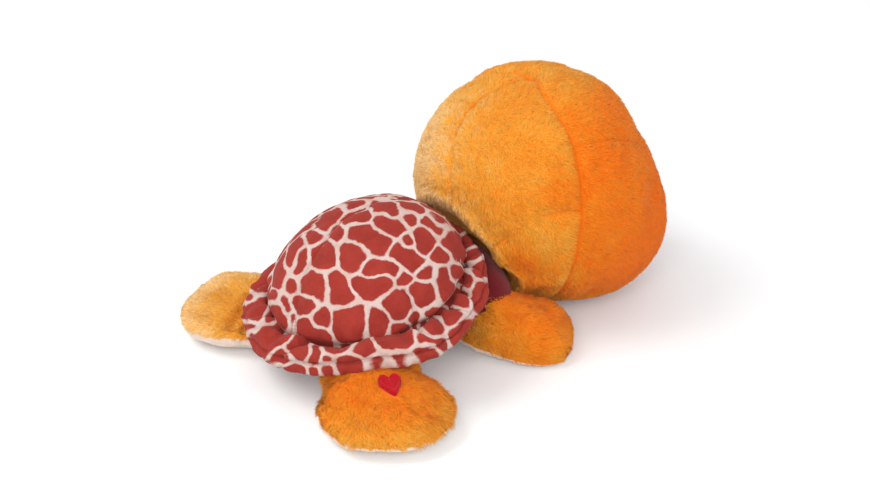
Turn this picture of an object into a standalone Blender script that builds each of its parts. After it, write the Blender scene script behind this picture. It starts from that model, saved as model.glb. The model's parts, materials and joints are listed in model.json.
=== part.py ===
"""Plush turtle lying on its belly: stuffed head, printed shell, padded rim and four flippers.

Metres, +Z up.  The nose points along -Y and the turtle's right side is -X.  The origin is on the
surface that it lies on, under the middle of its bounding box.
"""
import math

import bpy
import numpy as np
from mathutils import Vector

# Fabric, filling and clearances
FABRIC = 0.0014              # plush cloth, backing and laid-down pile
SEAM_GAP = 0.0003            # between two panels at a seam
TOUCH_GAP = 0.0003           # between pieces that touch
FILL_GAP = 0.0009            # between a cover and its filling
NECK_GAP = 0.0005            # between the head and the body it is sewn to
ROOT_GAP = 0.0006            # between a flipper and the body it is sewn to
FLAT_CUT = 0.0005            # depth of the flats that the toy lies on

# Head
HEAD_WIDTH = 0.137
HEAD_DEPTH = 0.136
HEAD_HEIGHT = 0.135
HEAD_AHEAD = 0.1130          # from the rim's centre to the head's centre
SIDE_SEAM_DEG = 68.0         # from the middle of the back round to the side seams
BROW_SIDE_DEG = 47.0         # from the crown down to the brow seam, at the side seams
BROW_FRONT_DEG = 60.0        # and at the middle of the face
MUZZLE_RISE = 0.0120         # how far the muzzle swells beyond the round head
MUZZLE_DEG = 122.0           # from the crown down to the middle of the muzzle
MUZZLE_SPREAD_DEG = 32.0
MUZZLE_REACH_DEG = 62.0      # half the muzzle's width round the face
TEMPLE_FLAT = 0.005          # how far the upper face lies inside the round head
TEMPLE_DEG = 62.0
DENT_BLEND = 0.0030          # rounding where the head is pressed in by the body
NOD_UP_DEG = 9.0
NOD_DOWN_DEG = 6.0

# Face
EYE_RADIUS = 0.0075
EYE_DOME = 0.0036
EYE_SIDE_DEG = 13.0          # from the middle of the face
EYE_DOWN_DEG = 100.0         # from the crown
EYE_STEM_RADIUS = 0.0020
EYE_STEM_LENGTH = 0.0090
EYE_STEM_SPACE = 0.0003
WASHER_RADIUS = 0.0060
WASHER_THICK = 0.0012
WASHER_SEAT = 0.0010         # under the flats of the cloth's inside
POCKET_SPACE = 0.0010        # filling kept clear round the washer and the stem
NOSTRIL_LENGTH = 0.0050
NOSTRIL_WIDTH = 0.0026
NOSTRIL_SIDE_DEG = 6.5
NOSTRIL_DOWN_DEG = 111.0
NOSTRIL_SINK = 0.0009        # into the flat of the muzzle, below its rounded shape
THREAD_RISE = 0.0011
MOUTH_SIDE_DEG = 24.0
MOUTH_DOWN_DEG = 128.0
MOUTH_SMILE_DEG = 7.0        # how far the mouth's ends turn up
MOUTH_THICK = 0.0018

# Shell, in its own frame: level with the rim, the back raised towards the head
SHELL_HEIGHT = 0.038         # rim's centre above the ground
SHELL_PITCH_DEG = 14.0
DOME_RADIUS = 0.0510
DOME_HEIGHT = 0.0425
DOME_LEAN = 0.0085           # how far the dome's top lies ahead of its middle
RIM_WIDTH = 0.0135
RIM_THICK = 0.0125
RIM_MOUTH_DEG = 24.0         # half the opening of the rim's cover, where dome and belly enter
CHEST_AHEAD = 0.0346
CHEST_DROP = 0.0140
CHEST_WIDTH = 0.0780
CHEST_LENGTH = 0.0640
CHEST_THICK = 0.0160
CHEST_BLEND = 0.0015
CHEST_PROUD = 0.0012         # room for the chest beyond the rim, in the hollow of the head

# Flippers
REAR_LENGTH = 0.0660         # from the root to the far edge
REAR_WIDTH = 0.0720          # from toe to heel
REAR_ROOT_OUT = 0.0330       # root's middle, out from the rim's centre
REAR_ROOT_BACK = 0.0240      # and towards the tail
REAR_AIM_DEG = 17.0          # how far it points towards the tail
REAR_LEFT_TURN_DEG = 12.0    # the left one lies turned further back
REAR_LEFT_TUCK = 0.0028      # and further in
REAR_THICK = 0.0210
FRONT_LENGTH = 0.0570
FRONT_WIDTH = 0.0430
FRONT_ROOT_OUT = 0.0270
FRONT_ROOT_AHEAD = 0.0460
FRONT_AIM_DEG = 40.0         # how far it points towards the head
FRONT_THICK = 0.0265
FLIPPER_SEAM = 0.0070        # height of the side seam at a flipper's far edge
REAR_ROOT_LIFT = 0.0035      # how much higher it is at the root
FRONT_ROOT_LIFT = 0.0174
LIFT_DEG = 8.0               # room under the rim for a flipper to lift

# Embroidered badge on the rear right flipper
BADGE_LENGTH = 0.0105
BADGE_WIDTH = 0.0100
BADGE_OUT_SHARE = 0.54
BADGE_RISE = 0.0010

# Counts
HEAD_BACK_STEPS = 6          # round the head, in each back panel
HEAD_FACE_STEPS = 10         # round the head, in each half of the face
HEAD_ROWS = 13
BROW_ROWS = 5
CHEEK_ROWS = 10
SHELL_STEPS = 24
DOME_ROWS = 5
RIM_STEPS = 24
RIM_SECTION_STEPS = 7
WADDING_SECTION_STEPS = 6
FLIPPER_STEPS = 16
FLIPPER_ROWS = 3
ROUND_STEPS = 12
POLE_SHARE = 0.02            # how near a pole a pointed panel starts
LEAST_SHARE = 0.05           # keeps a division clear of zero
PILLOW_MIDDLE_SHARE = 0.52   # where a flipper is thickest, along its length
PILLOW_POWER = 2.4           # how full a flipper is towards its edge
PILLOW_ROW_POWER = 0.75      # crowds a flipper's rows towards its edge
THREAD_EDGE_SHARE = 0.45     # height of stitching at its edge against its middle
SHARP_DEG = 50.0             # edges bent more than this are shaded sharp
NOD_SHARES = (0.0, 0.25, 0.5, 0.75, 1.0)
EYE_DOME_SHARES = (0.35, 0.65, 0.88, 1.0)
BADGE_ROW_SHARES = (0.0, 0.6, 1.0)
NOSTRIL_ROW_SHARES = (0.0, 0.5, 1.0)

# Rows of the belly from the rim down, crowded where the chest swells out under the rim
BELLY_ROW_SHARES = (0.0, 0.08, 0.12, 0.17, 0.26, 0.40, 0.53, 0.64, 0.74, 0.86, 1.0)

# Flipper outlines: (out from the root in lengths, across in widths), towards the tail first
REAR_OUTLINE_SHARES = (
    (0.00, 0.00), (0.10, 0.30), (0.30, 0.50), (0.62, 0.54), (0.90, 0.36), (1.00, 0.06),
    (0.92, -0.26), (0.74, -0.44), (0.52, -0.42), (0.30, -0.30), (0.10, -0.28),
)
FRONT_OUTLINE_SHARES = (
    (0.00, 0.00), (0.08, 0.36), (0.36, 0.49), (0.70, 0.50), (0.94, 0.30), (1.00, 0.00),
    (0.94, -0.30), (0.70, -0.50), (0.36, -0.49), (0.08, -0.36),
)
HEART_OUTLINE_SHARES = (
    (-0.50, 0.00), (-0.10, 0.36), (0.22, 0.50), (0.44, 0.38), (0.46, 0.16), (0.28, 0.00),
    (0.46, -0.16), (0.44, -0.38), (0.22, -0.50), (-0.10, -0.36),
)

SHELL_LOW = DOME_RADIUS * math.sin(math.radians(SHELL_PITCH_DEG))
BELLY_DEPTH = (math.sqrt((SHELL_HEIGHT + FLAT_CUT) ** 2 - SHELL_LOW ** 2)
               / math.cos(math.radians(SHELL_PITCH_DEG)))
RIM_CENTRE_RADIUS = DOME_RADIUS + TOUCH_GAP + RIM_WIDTH / 2
RIM_OUTER_RADIUS = RIM_CENTRE_RADIUS + RIM_WIDTH / 2
LINING = FABRIC + FILL_GAP   # from a cover's outside to its filling


def clear_scene():
    for item in list(bpy.data.objects):
        bpy.data.objects.remove(item)


def fabric(name, colour, roughness=0.9):
    made = bpy.data.materials.new(name)
    made.use_nodes = True
    shader = made.node_tree.nodes["Principled BSDF"]
    shader.inputs["Base Color"].default_value = (*colour, 1.0)
    shader.inputs["Roughness"].default_value = roughness
    shader.inputs["Metallic"].default_value = 0.0
    made.diffuse_color = (*colour, 1.0)
    return made


# Frames and rays

def shell_to_world(points):
    """Points from the shell's own frame, whose front is raised, to the turtle's."""
    pitch = math.radians(SHELL_PITCH_DEG)
    x, y, z = np.moveaxis(np.asarray(points, float), -1, 0)
    back = y * math.cos(pitch) + z * math.sin(pitch)
    up = -y * math.sin(pitch) + z * math.cos(pitch)
    return np.stack([x, back, up + SHELL_HEIGHT], -1)


def world_to_shell(points):
    pitch = math.radians(SHELL_PITCH_DEG)
    x, y, z = np.moveaxis(np.asarray(points, float), -1, 0)
    z = z - SHELL_HEIGHT
    return np.stack([x, y * math.cos(pitch) - z * math.sin(pitch),
                     y * math.sin(pitch) + z * math.cos(pitch)], -1)


def turn_about_x(points, pivot, angle):
    x, y, z = np.moveaxis(np.asarray(points, float) - pivot, -1, 0)
    turned = np.stack([x, y * math.cos(angle) - z * math.sin(angle),
                       y * math.sin(angle) + z * math.cos(angle)], -1)
    return turned + pivot


def ray_hits(starts, aims, centre, radii):
    """Distances at which rays enter and leave an ellipsoid, infinite and zero where they miss."""
    start = (starts - centre) / radii
    step = aims / radii
    a = (step * step).sum(-1)
    b = (start * step).sum(-1)
    c = (start * start).sum(-1) - 1.0
    inside = b * b - a * c
    root = np.sqrt(np.maximum(inside, 0.0))
    missed = (inside <= 0.0) | (-b + root <= 0.0)
    near = np.where(missed, np.inf, (-b - root) / a)
    far = np.where(missed, 0.0, (-b + root) / a)
    return near, far


def soft_min(first, second, blend):
    return -blend * np.logaddexp(-first / blend, -second / blend)


def directions(from_pole, round_back):
    """Unit vectors: angle down from the top, and angle round from the tail side towards +X."""
    return np.stack([np.sin(from_pole) * np.sin(round_back),
                     np.sin(from_pole) * np.cos(round_back),
                     np.cos(from_pole) + 0.0 * round_back], -1)


# Body surfaces

CHEST_CENTRE = np.array([0.0, -CHEST_AHEAD, -CHEST_DROP])
CHEST_RADII = np.array([CHEST_WIDTH, CHEST_LENGTH, CHEST_THICK]) / 2
NECK_PIVOT = shell_to_world(CHEST_CENTRE - [0.0, CHEST_LENGTH / 2, 0.0])


def dome_point(from_top, round_back, inset):
    """Dome surface; from_top runs from zero at its top to a right angle at the rim."""
    radius = DOME_RADIUS - inset
    x = radius * np.sin(from_top) * np.sin(round_back)
    lean = -DOME_LEAN * np.cos(from_top)
    y = radius * np.sin(from_top) * np.cos(round_back) + lean
    z = (DOME_HEIGHT - inset) * np.cos(from_top) + 0.0 * x
    return shell_to_world(np.stack([x, y, z], -1))


def belly_point(from_rim, round_back, inset):
    """Belly surface, with the chest swelling out in front under the rim."""
    aim = directions(from_rim + math.pi / 2, round_back)
    zero = np.zeros_like(aim)
    belly = ray_hits(zero, aim, zero, np.array([DOME_RADIUS, DOME_RADIUS, BELLY_DEPTH]))[1]
    chest = ray_hits(zero, aim, CHEST_CENTRE, CHEST_RADII)[1]
    reach = -soft_min(-belly, -chest, CHEST_BLEND) - CHEST_BLEND * math.log(2.0)
    point = shell_to_world(aim * (np.maximum(reach, belly) - inset)[..., None])
    return lie_flat(point, inset)


def lie_flat(points, inset):
    """Cuts what lies lower than the ground off flat."""
    points = points.copy()
    points[..., 2] = np.maximum(points[..., 2], inset)
    return points


def rim_point(round_back, around, inset):
    """Rim section; around runs from the inner edge over the top."""
    width = RIM_WIDTH / 2 - inset
    height = RIM_THICK / 2 - inset
    radius = RIM_CENTRE_RADIUS - width * np.cos(around)
    x = radius * np.sin(round_back)
    return shell_to_world(np.stack([x, radius * np.cos(round_back), height * np.sin(around) + 0.0 * x], -1))


# Head surface

HEAD_RADII = np.array([HEAD_WIDTH, HEAD_DEPTH, HEAD_HEIGHT]) / 2
HEAD_CENTRE = np.array([0.0, -HEAD_AHEAD, HEAD_HEIGHT / 2 - FLAT_CUT])


def pressed_reach(aim):
    """How far the head can swell before it meets the body, at every angle of its nod."""
    reach = np.full(aim.shape[:-1], np.inf)
    hull_radius = RIM_OUTER_RADIUS + CHEST_PROUD
    bodies = (
        (np.array([0.0, 0.0, -CHEST_DROP / 2]), (hull_radius, hull_radius, DOME_HEIGHT)),
        (np.array([0.0, -DOME_LEAN, 0.0]), (DOME_RADIUS, DOME_RADIUS, DOME_HEIGHT)),
    )
    for share in NOD_SHARES:
        angle = math.radians(share * NOD_DOWN_DEG - (1.0 - share) * NOD_UP_DEG)
        start = world_to_shell(turn_about_x(HEAD_CENTRE, NECK_PIVOT, angle))
        ahead = world_to_shell(turn_about_x(HEAD_CENTRE + aim, NECK_PIVOT, angle))
        starts = np.broadcast_to(start, aim.shape)
        for centre, radii in bodies:
            hit = ray_hits(starts, ahead - start, centre, np.asarray(radii) + NECK_GAP)[0]
            reach = np.minimum(reach, hit)
    return reach


def bump(from_crown, from_nose, middle, spread, reach):
    down = (from_crown - math.radians(middle)) / math.radians(spread)
    side = from_nose / math.radians(reach)
    return np.exp(-down ** 2 - side ** 4)


def head_point(from_crown, round_back, inset):
    """Head surface; round_back is zero at the back seam and grows towards +X."""
    aim = directions(from_crown, round_back)
    zero = np.zeros_like(aim)
    round_reach = ray_hits(zero, aim, zero, HEAD_RADII)[1]
    from_nose = np.abs(np.abs(round_back) - math.pi)
    muzzle = MUZZLE_RISE * bump(from_crown, from_nose, MUZZLE_DEG, MUZZLE_SPREAD_DEG, MUZZLE_REACH_DEG)
    temple = TEMPLE_FLAT * bump(from_crown, from_nose, TEMPLE_DEG, MUZZLE_SPREAD_DEG, SIDE_SEAM_DEG)
    reach = soft_min(round_reach + muzzle - temple, pressed_reach(aim), DENT_BLEND)
    return lie_flat(HEAD_CENTRE + aim * (reach - inset)[..., None], inset)


def brow_angle(round_back):
    """How far down the brow seam runs, from the side seams to the middle of the face."""
    side = math.radians(SIDE_SEAM_DEG)
    share = (np.abs(round_back) - side) / (math.pi - side)
    drop = BROW_SIDE_DEG + (BROW_FRONT_DEG - BROW_SIDE_DEG) * np.sin(share * math.pi / 2)
    return np.radians(drop)


# Mesh builders: each returns points and faces of one closed body

def grid_faces(rows, columns, first, wrap, flip):
    """Quads of a grid whose points are numbered row by row from first."""
    faces = []
    for row in range(rows - 1):
        for column in range(columns if wrap else columns - 1):
            after = (column + 1) % columns
            quad = (first + row * columns + column, first + row * columns + after,
                    first + (row + 1) * columns + after, first + (row + 1) * columns + column)
            faces.append(quad[::-1] if flip else quad)
    return faces


def sheet(outer, inner):
    """A sewn panel with four edges, between two grids of points."""
    rows, columns = outer.shape[:2]
    points = np.concatenate([outer.reshape(-1, 3), inner.reshape(-1, 3)])
    back = rows * columns
    faces = grid_faces(rows, columns, 0, False, False) + grid_faces(rows, columns, back, False, True)
    edge = [column for column in range(columns)]
    edge += [row * columns + columns - 1 for row in range(1, rows)]
    edge += [(rows - 1) * columns + column for column in range(columns - 2, -1, -1)]
    edge += [row * columns for row in range(rows - 2, 0, -1)]
    for place, corner in enumerate(edge):
        after = edge[(place + 1) % len(edge)]
        faces.append((after, corner, corner + back, after + back))
    return points, faces


def capped(outer, inner):
    """A sewn panel like a bowl: row zero of each grid is its middle point."""
    rows, columns = outer.shape[:2]
    points = np.concatenate([outer[0, :1], outer[1:].reshape(-1, 3), inner[0, :1], inner[1:].reshape(-1, 3)])
    back = 1 + (rows - 1) * columns
    faces = grid_faces(rows - 1, columns, 1, True, False)
    faces += grid_faces(rows - 1, columns, back + 1, True, True)
    last = 1 + (rows - 2) * columns
    for column in range(columns):
        after = (column + 1) % columns
        faces.append((0, 1 + after, 1 + column))
        faces.append((back, back + 1 + column, back + 1 + after))
        faces.append((last + column, last + after, back + last + after, back + last + column))
    return points, faces


def ball(grid):
    """A filling: rows from one pole to the other, closed round."""
    rows, columns = grid.shape[:2]
    points = np.concatenate([grid[0, :1], grid[1:-1].reshape(-1, 3), grid[-1, :1]])
    faces = grid_faces(rows - 2, columns, 1, True, False)
    last = 1 + (rows - 3) * columns
    for column in range(columns):
        after = (column + 1) % columns
        faces.append((0, 1 + after, 1 + column))
        faces.append((last + column, last + after, len(points) - 1))
    return points, faces


def ring(grid):
    """A ring: rows run round the section, columns round the turtle, both closed."""
    rows, columns = grid.shape[:2]
    faces = []
    for row in range(rows):
        for column in range(columns):
            after = (column + 1) % columns
            below = (row + 1) % rows
            faces.append((row * columns + column, row * columns + after,
                          below * columns + after, below * columns + column))
    return grid.reshape(-1, 3), faces


def split_quads(points, faces):
    """Cuts each four-sided face along its shorter diagonal, alike on surfaces that lie in each other."""
    triangles = []
    for face in faces:
        if len(face) == 3:
            triangles.append(face)
            continue
        a, b, c, d = face
        if np.linalg.norm(points[a] - points[c]) <= np.linalg.norm(points[b] - points[d]):
            triangles += [(a, b, c), (a, c, d)]
        else:
            triangles += [(a, b, d), (b, c, d)]
    return triangles


def closed_spline(shares, steps):
    """A smooth closed curve through points given as shares, read at even steps round it."""
    knots = np.asarray(shares, float)
    places = np.arange(steps) * len(knots) / steps
    whole = places.astype(int)
    part = (places - whole)[:, None]
    before, here, after, beyond = (knots[(whole + shift) % len(knots)] for shift in (-1, 0, 1, 2))
    return 0.5 * (2 * here + (after - before) * part
                  + (2 * before - 5 * here + 4 * after - beyond) * part ** 2
                  + (3 * here - before - 3 * after + beyond) * part ** 3)


# Bodies and their objects

def add_body(name, pivot, root):
    """An empty on a moving body's joint axis."""
    empty = bpy.data.objects.new(name, None)
    bpy.context.collection.objects.link(empty)
    empty.parent = root
    empty.location = pivot
    return empty


def add_piece(name, built, body, material):
    """A closed solid whose origin is on its body's joint axis."""
    points, faces = built
    offset = Vector(body.location) if body.parent else Vector((0.0, 0.0, 0.0))
    mesh = bpy.data.meshes.new(name)
    mesh.from_pydata([Vector(point) - offset for point in points], [], split_quads(points, faces))
    mesh.validate()
    volume = sum(corner_volume(mesh, face) for face in mesh.polygons)
    if volume < 0.0:
        mesh.flip_normals()
    mesh.materials.append(material)
    mesh.shade_smooth()
    mesh.set_sharp_from_angle(angle=math.radians(SHARP_DEG))
    piece = bpy.data.objects.new(name, mesh)
    bpy.context.collection.objects.link(piece)
    piece.parent = body
    return piece


def corner_volume(mesh, face):
    """Six times the volume between a face, taken as a fan, and the origin."""
    corners = [mesh.vertices[index].co for index in face.vertices]
    return sum(corners[0].dot(corners[i].cross(corners[i + 1])) for i in range(1, len(corners) - 1))


def cut(piece, cutter):
    modifier = piece.modifiers.new("cut", "BOOLEAN")
    modifier.operation = "DIFFERENCE"
    modifier.solver = "EXACT"
    modifier.object = cutter


def turned(profile, centre, axis):
    """A solid of revolution: profile is (height along axis, radius), ending on the axis."""
    axis = Vector(axis).normalized()
    side = axis.orthogonal().normalized()
    other = axis.cross(side)
    angles = np.arange(ROUND_STEPS) * 2 * math.pi / ROUND_STEPS
    grid = []
    for height, radius in profile:
        grid.append([np.array(Vector(centre) + axis * height
                              + side * (radius * math.cos(angle)) + other * (radius * math.sin(angle)))
                     for angle in angles])
    return np.array(grid)


# Head

def panel_angles(start, end, steps):
    return np.linspace(math.radians(start), math.radians(end), steps + 1)


def head_panel(start_deg, end_deg, steps, rows, top, bottom):
    """A panel between two upright seams; top and bottom give each column's first and last angle."""
    columns = panel_angles(start_deg, end_deg, steps)
    low = top(columns)
    high = bottom(columns)
    share = np.linspace(0.0, 1.0, rows + 1)[:, None]
    from_crown = low + (high - low) * share
    radius = HEAD_WIDTH / 2 * np.sin(from_crown)
    middle = (columns[0] + columns[-1]) / 2
    half = abs(columns[-1] - columns[0]) / 2
    narrowed = np.maximum(1.0 - SEAM_GAP / 2 / (half * radius), 0.0)
    round_back = middle + (columns - middle) * narrowed
    outer = head_point(from_crown, round_back, 0.0)
    inner = head_point(from_crown, round_back, FABRIC)
    return sheet(outer, inner)


def near_crown(columns):
    return np.full_like(columns, POLE_SHARE * math.pi)


def near_throat(columns):
    return np.full_like(columns, math.pi * (1.0 - POLE_SHARE))


def above_brow(columns):
    return brow_angle(columns) - SEAM_GAP / HEAD_WIDTH


def below_brow(columns):
    return brow_angle(columns) + SEAM_GAP / HEAD_WIDTH


def head_surface_frame(side_deg, down_deg):
    """A point on the face, side_deg from its middle towards +X, and the direction out of it."""
    down = math.radians(down_deg)
    round_back = math.pi - math.radians(side_deg)
    step = math.radians(1.0)
    point = head_point(np.array(down), np.array(round_back), 0.0)
    lower = head_point(np.array(down + step), np.array(round_back), 0.0)
    aside = head_point(np.array(down), np.array(round_back + step), 0.0)
    outward = np.cross(lower - point, aside - point)
    outward /= np.linalg.norm(outward)
    if outward @ (point - HEAD_CENTRE) < 0.0:
        outward = -outward
    return point, outward


def make_head(root, cloth):
    head = add_body("head", NECK_PIVOT, root)
    side = SIDE_SEAM_DEG
    cheeks = {}
    for name, sign in (("right", -1.0), ("left", 1.0)):
        add_piece(
            "head_back_" + name,
            head_panel(0.0, sign * side, HEAD_BACK_STEPS, HEAD_ROWS, near_crown, near_throat),
            head, cloth["orange"])
        add_piece(
            "brow_" + name,
            head_panel(sign * side, sign * 180.0, HEAD_FACE_STEPS, BROW_ROWS, near_crown, above_brow),
            head, cloth["orange"])
        cheeks[name] = add_piece(
            "cheek_" + name,
            head_panel(sign * side, sign * 180.0, HEAD_FACE_STEPS, CHEEK_ROWS, below_brow, near_throat),
            head, cloth["orange"])
    back = panel_angles(-side, side, 2 * HEAD_BACK_STEPS)
    face = panel_angles(side, 360.0 - side, 2 * HEAD_FACE_STEPS)[1:-1]
    round_back = np.concatenate([back, np.where(face > math.pi, face - 2 * math.pi, face)])
    rows = np.linspace(POLE_SHARE * math.pi, (1.0 - POLE_SHARE) * math.pi, HEAD_ROWS + 1)
    from_crown = np.concatenate([[0.0], rows, [math.pi]])[:, None]
    filling = add_piece("head_filling", ball(head_point(from_crown, round_back, LINING)),
                        head, cloth["filling"])
    for name, sign in (("right", -1.0), ("left", 1.0)):
        make_eye(name, sign, head, cheeks[name], filling, cloth)
        make_nostril(name, sign, head, cloth)
    make_mouth(head, cloth)


def facet_sink():
    """How far the middle of a cheek's facet can lie inside the rounded face."""
    round_step = math.radians(180.0 - SIDE_SEAM_DEG) / HEAD_FACE_STEPS
    down_step = math.radians(180.0 - BROW_SIDE_DEG) / CHEEK_ROWS
    round_sink = HEAD_DEPTH / 2 * (1.0 - math.cos(round_step / 2))
    return round_sink + HEAD_HEIGHT / 2 * (1.0 - math.cos(down_step / 2))


def make_eye(name, sign, head, cheek, filling, cloth):
    """A safety eye: dome, flange and stem in one, and the washer pressed on inside the cloth."""
    place, outward = head_surface_frame(sign * EYE_SIDE_DEG, EYE_DOWN_DEG)
    seat = place + outward * TOUCH_GAP
    profile = [(-EYE_STEM_LENGTH, 0.0), (-EYE_STEM_LENGTH, EYE_STEM_RADIUS), (0.0, EYE_STEM_RADIUS),
               (0.0, EYE_RADIUS)]
    for share in EYE_DOME_SHARES:
        angle = share * math.pi / 2
        profile.append((EYE_DOME * math.sin(angle), EYE_RADIUS * math.cos(angle)))
    add_piece("eye_" + name, ball(turned(profile, seat, outward)), head, cloth["eye"])
    hole_radius = EYE_STEM_RADIUS + EYE_STEM_SPACE
    top = -FABRIC - facet_sink() - WASHER_SEAT
    washer = [(top, hole_radius), (top, WASHER_RADIUS), (top - WASHER_THICK, WASHER_RADIUS),
              (top - WASHER_THICK, hole_radius)]
    add_piece("eye_washer_" + name, ring(turned(washer, place, outward)), head, cloth["washer"])
    hole = add_cutter("eye_hole_" + name, hole_radius, place, outward, EYE_STEM_LENGTH, head)
    pocket = add_cutter("eye_pocket_" + name, WASHER_RADIUS + POCKET_SPACE, place, outward,
                        EYE_STEM_LENGTH + POCKET_SPACE, head)
    cut(cheek, hole)
    cut(filling, pocket)


def add_cutter(name, radius, place, outward, depth, body):
    profile = [(-depth, 0.0), (-depth, radius), (depth, radius), (depth, 0.0)]
    cutter = add_piece(name, ball(turned(profile, place, outward)), body, None)
    cutter.hide_render = True
    cutter.display_type = "WIRE"
    return cutter


def thread_rise(height, share):
    """Height of stitching, rounded down from its middle to its edge."""
    return height * np.sqrt(1.0 - (1.0 - THREAD_EDGE_SHARE ** 2) * share ** 2)


def make_nostril(name, sign, head, cloth):
    """A small stitched oval lying on the muzzle."""
    down = math.radians(NOSTRIL_DOWN_DEG)
    middle = math.pi - math.radians(NOSTRIL_SIDE_DEG)
    angles = np.arange(ROUND_STEPS) * 2 * math.pi / ROUND_STEPS
    share = np.array(NOSTRIL_ROW_SHARES)[:, None]
    rise = thread_rise(THREAD_RISE, share)
    from_crown = down + share * np.sin(angles) * NOSTRIL_WIDTH / HEAD_HEIGHT
    round_back = sign * (middle + share * np.cos(angles) * NOSTRIL_LENGTH / HEAD_WIDTH)
    outer = head_point(from_crown, round_back, NOSTRIL_SINK - TOUCH_GAP - rise)
    inner = head_point(from_crown, round_back, NOSTRIL_SINK - TOUCH_GAP + 0.0 * rise)
    add_piece("nostril_" + name, capped(outer, inner), head, cloth["thread"])


def make_mouth(head, cloth):
    """A stitched line across the muzzle whose ends turn up."""
    reach = math.radians(MOUTH_SIDE_DEG)
    along = np.linspace(-reach, reach, 2 * HEAD_FACE_STEPS + 1)
    dip = math.radians(MOUTH_DOWN_DEG) - math.radians(MOUTH_SMILE_DEG) * (along / reach) ** 2
    across = np.array([-0.5, 0.0, 0.5])[:, None] * MOUTH_THICK / (HEAD_HEIGHT / 2)
    from_crown = dip + across
    round_back = math.pi - along + 0.0 * across
    outer = head_point(from_crown, round_back, -TOUCH_GAP - THREAD_RISE)
    inner = head_point(from_crown, round_back, -TOUCH_GAP)
    add_piece("mouth_stitching", sheet(outer, inner), head, cloth["thread"])


# Body

def make_body(root, cloth):
    body = add_body("body", (0.0, 0.0, 0.0), root)
    quarter = math.pi / 2
    for name, sign in (("right", -1.0), ("left", 1.0)):
        columns = np.linspace(0.0, math.pi, SHELL_STEPS // 2 + 1)
        from_top = np.linspace(POLE_SHARE * quarter * 2, quarter, DOME_ROWS + 1)[:, None]
        narrowed = 1.0 - SEAM_GAP / 2 / (quarter * DOME_RADIUS * np.sin(from_top))
        round_back = sign * (quarter + (columns - quarter) * narrowed)
        add_piece("shell_dome_" + name,
                  sheet(dome_point(from_top, round_back, 0.0), dome_point(from_top, round_back, FABRIC)),
                  body, cloth["print"])
    round_back = np.arange(SHELL_STEPS) * 2 * math.pi / SHELL_STEPS
    edge = TOUCH_GAP / BELLY_DEPTH
    from_rim = (edge + (quarter - edge) * np.array(BELLY_ROW_SHARES))[::-1, None]
    belly_outer = belly_point(from_rim, round_back, 0.0)
    belly_inner = belly_point(from_rim, round_back, FABRIC)
    add_piece("belly_panel", capped(belly_outer, belly_inner), body, cloth["maroon"])

    from_top = np.linspace(0.0, quarter, DOME_ROWS + 1)[:, None]
    dome_rows = dome_point(from_top, round_back, LINING)
    belly_rows = belly_point(from_rim, round_back, LINING)[::-1]
    add_piece("body_filling", ball(np.concatenate([dome_rows[:-1], belly_rows])), body, cloth["filling"])

    round_rim = np.arange(RIM_STEPS) * 2 * math.pi / RIM_STEPS
    mouth = math.radians(RIM_MOUTH_DEG)
    around = np.linspace(mouth, 2 * math.pi - mouth, RIM_SECTION_STEPS + 1)[:, None]
    cover = np.concatenate([rim_point(round_rim, around, 0.0), rim_point(round_rim, around[::-1], FABRIC)])
    add_piece("shell_rim_cover", ring(cover), body, cloth["print"])
    around = np.arange(WADDING_SECTION_STEPS)[:, None] * 2 * math.pi / WADDING_SECTION_STEPS
    add_piece("shell_rim_wadding", ring(rim_point(round_rim, around, LINING)), body, cloth["filling"])


# Flippers

def body_clearance(points, gap, lift_room):
    """Moves points that reach into the body or the head out of them, and under the rim."""
    local = world_to_shell(points)
    for centre, radii in ((CHEST_CENTRE, CHEST_RADII),
                          (np.zeros(3), np.array([DOME_RADIUS, DOME_RADIUS, BELLY_DEPTH]))):
        grown = radii + gap
        level = np.linalg.norm((local - centre) / grown, axis=-1, keepdims=True)
        pushed = centre + (local - centre) / np.maximum(level, LEAST_SHARE)
        local = np.where(level < 1.0, pushed, local)
    radius = np.hypot(local[..., 0], local[..., 1])
    past_middle = np.maximum(radius - RIM_CENTRE_RADIUS - lift_room[..., 0], 0.0)
    under = -RIM_THICK / 2 + past_middle * RIM_THICK / RIM_WIDTH - gap - lift_room[..., 0]
    local[..., 2] = np.minimum(local[..., 2], under)
    placed = shell_to_world(local)
    for nod in (NOD_DOWN_DEG, 0.0):
        angle = math.radians(nod)
        local = turn_about_x(placed, NECK_PIVOT, -angle) - HEAD_CENTRE
        grown = HEAD_RADII + gap + lift_room
        level = np.linalg.norm(local / grown, axis=-1, keepdims=True)
        local = np.where(level < 1.0, local / np.maximum(level, LEAST_SHARE), local)
        placed = turn_about_x(local + HEAD_CENTRE, NECK_PIVOT, angle)
    return placed


def pillow(share):
    """How far a stuffed panel swells, from one in the middle to none at its edge."""
    return np.sqrt(np.maximum(1.0 - share ** PILLOW_POWER, 0.0))


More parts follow.
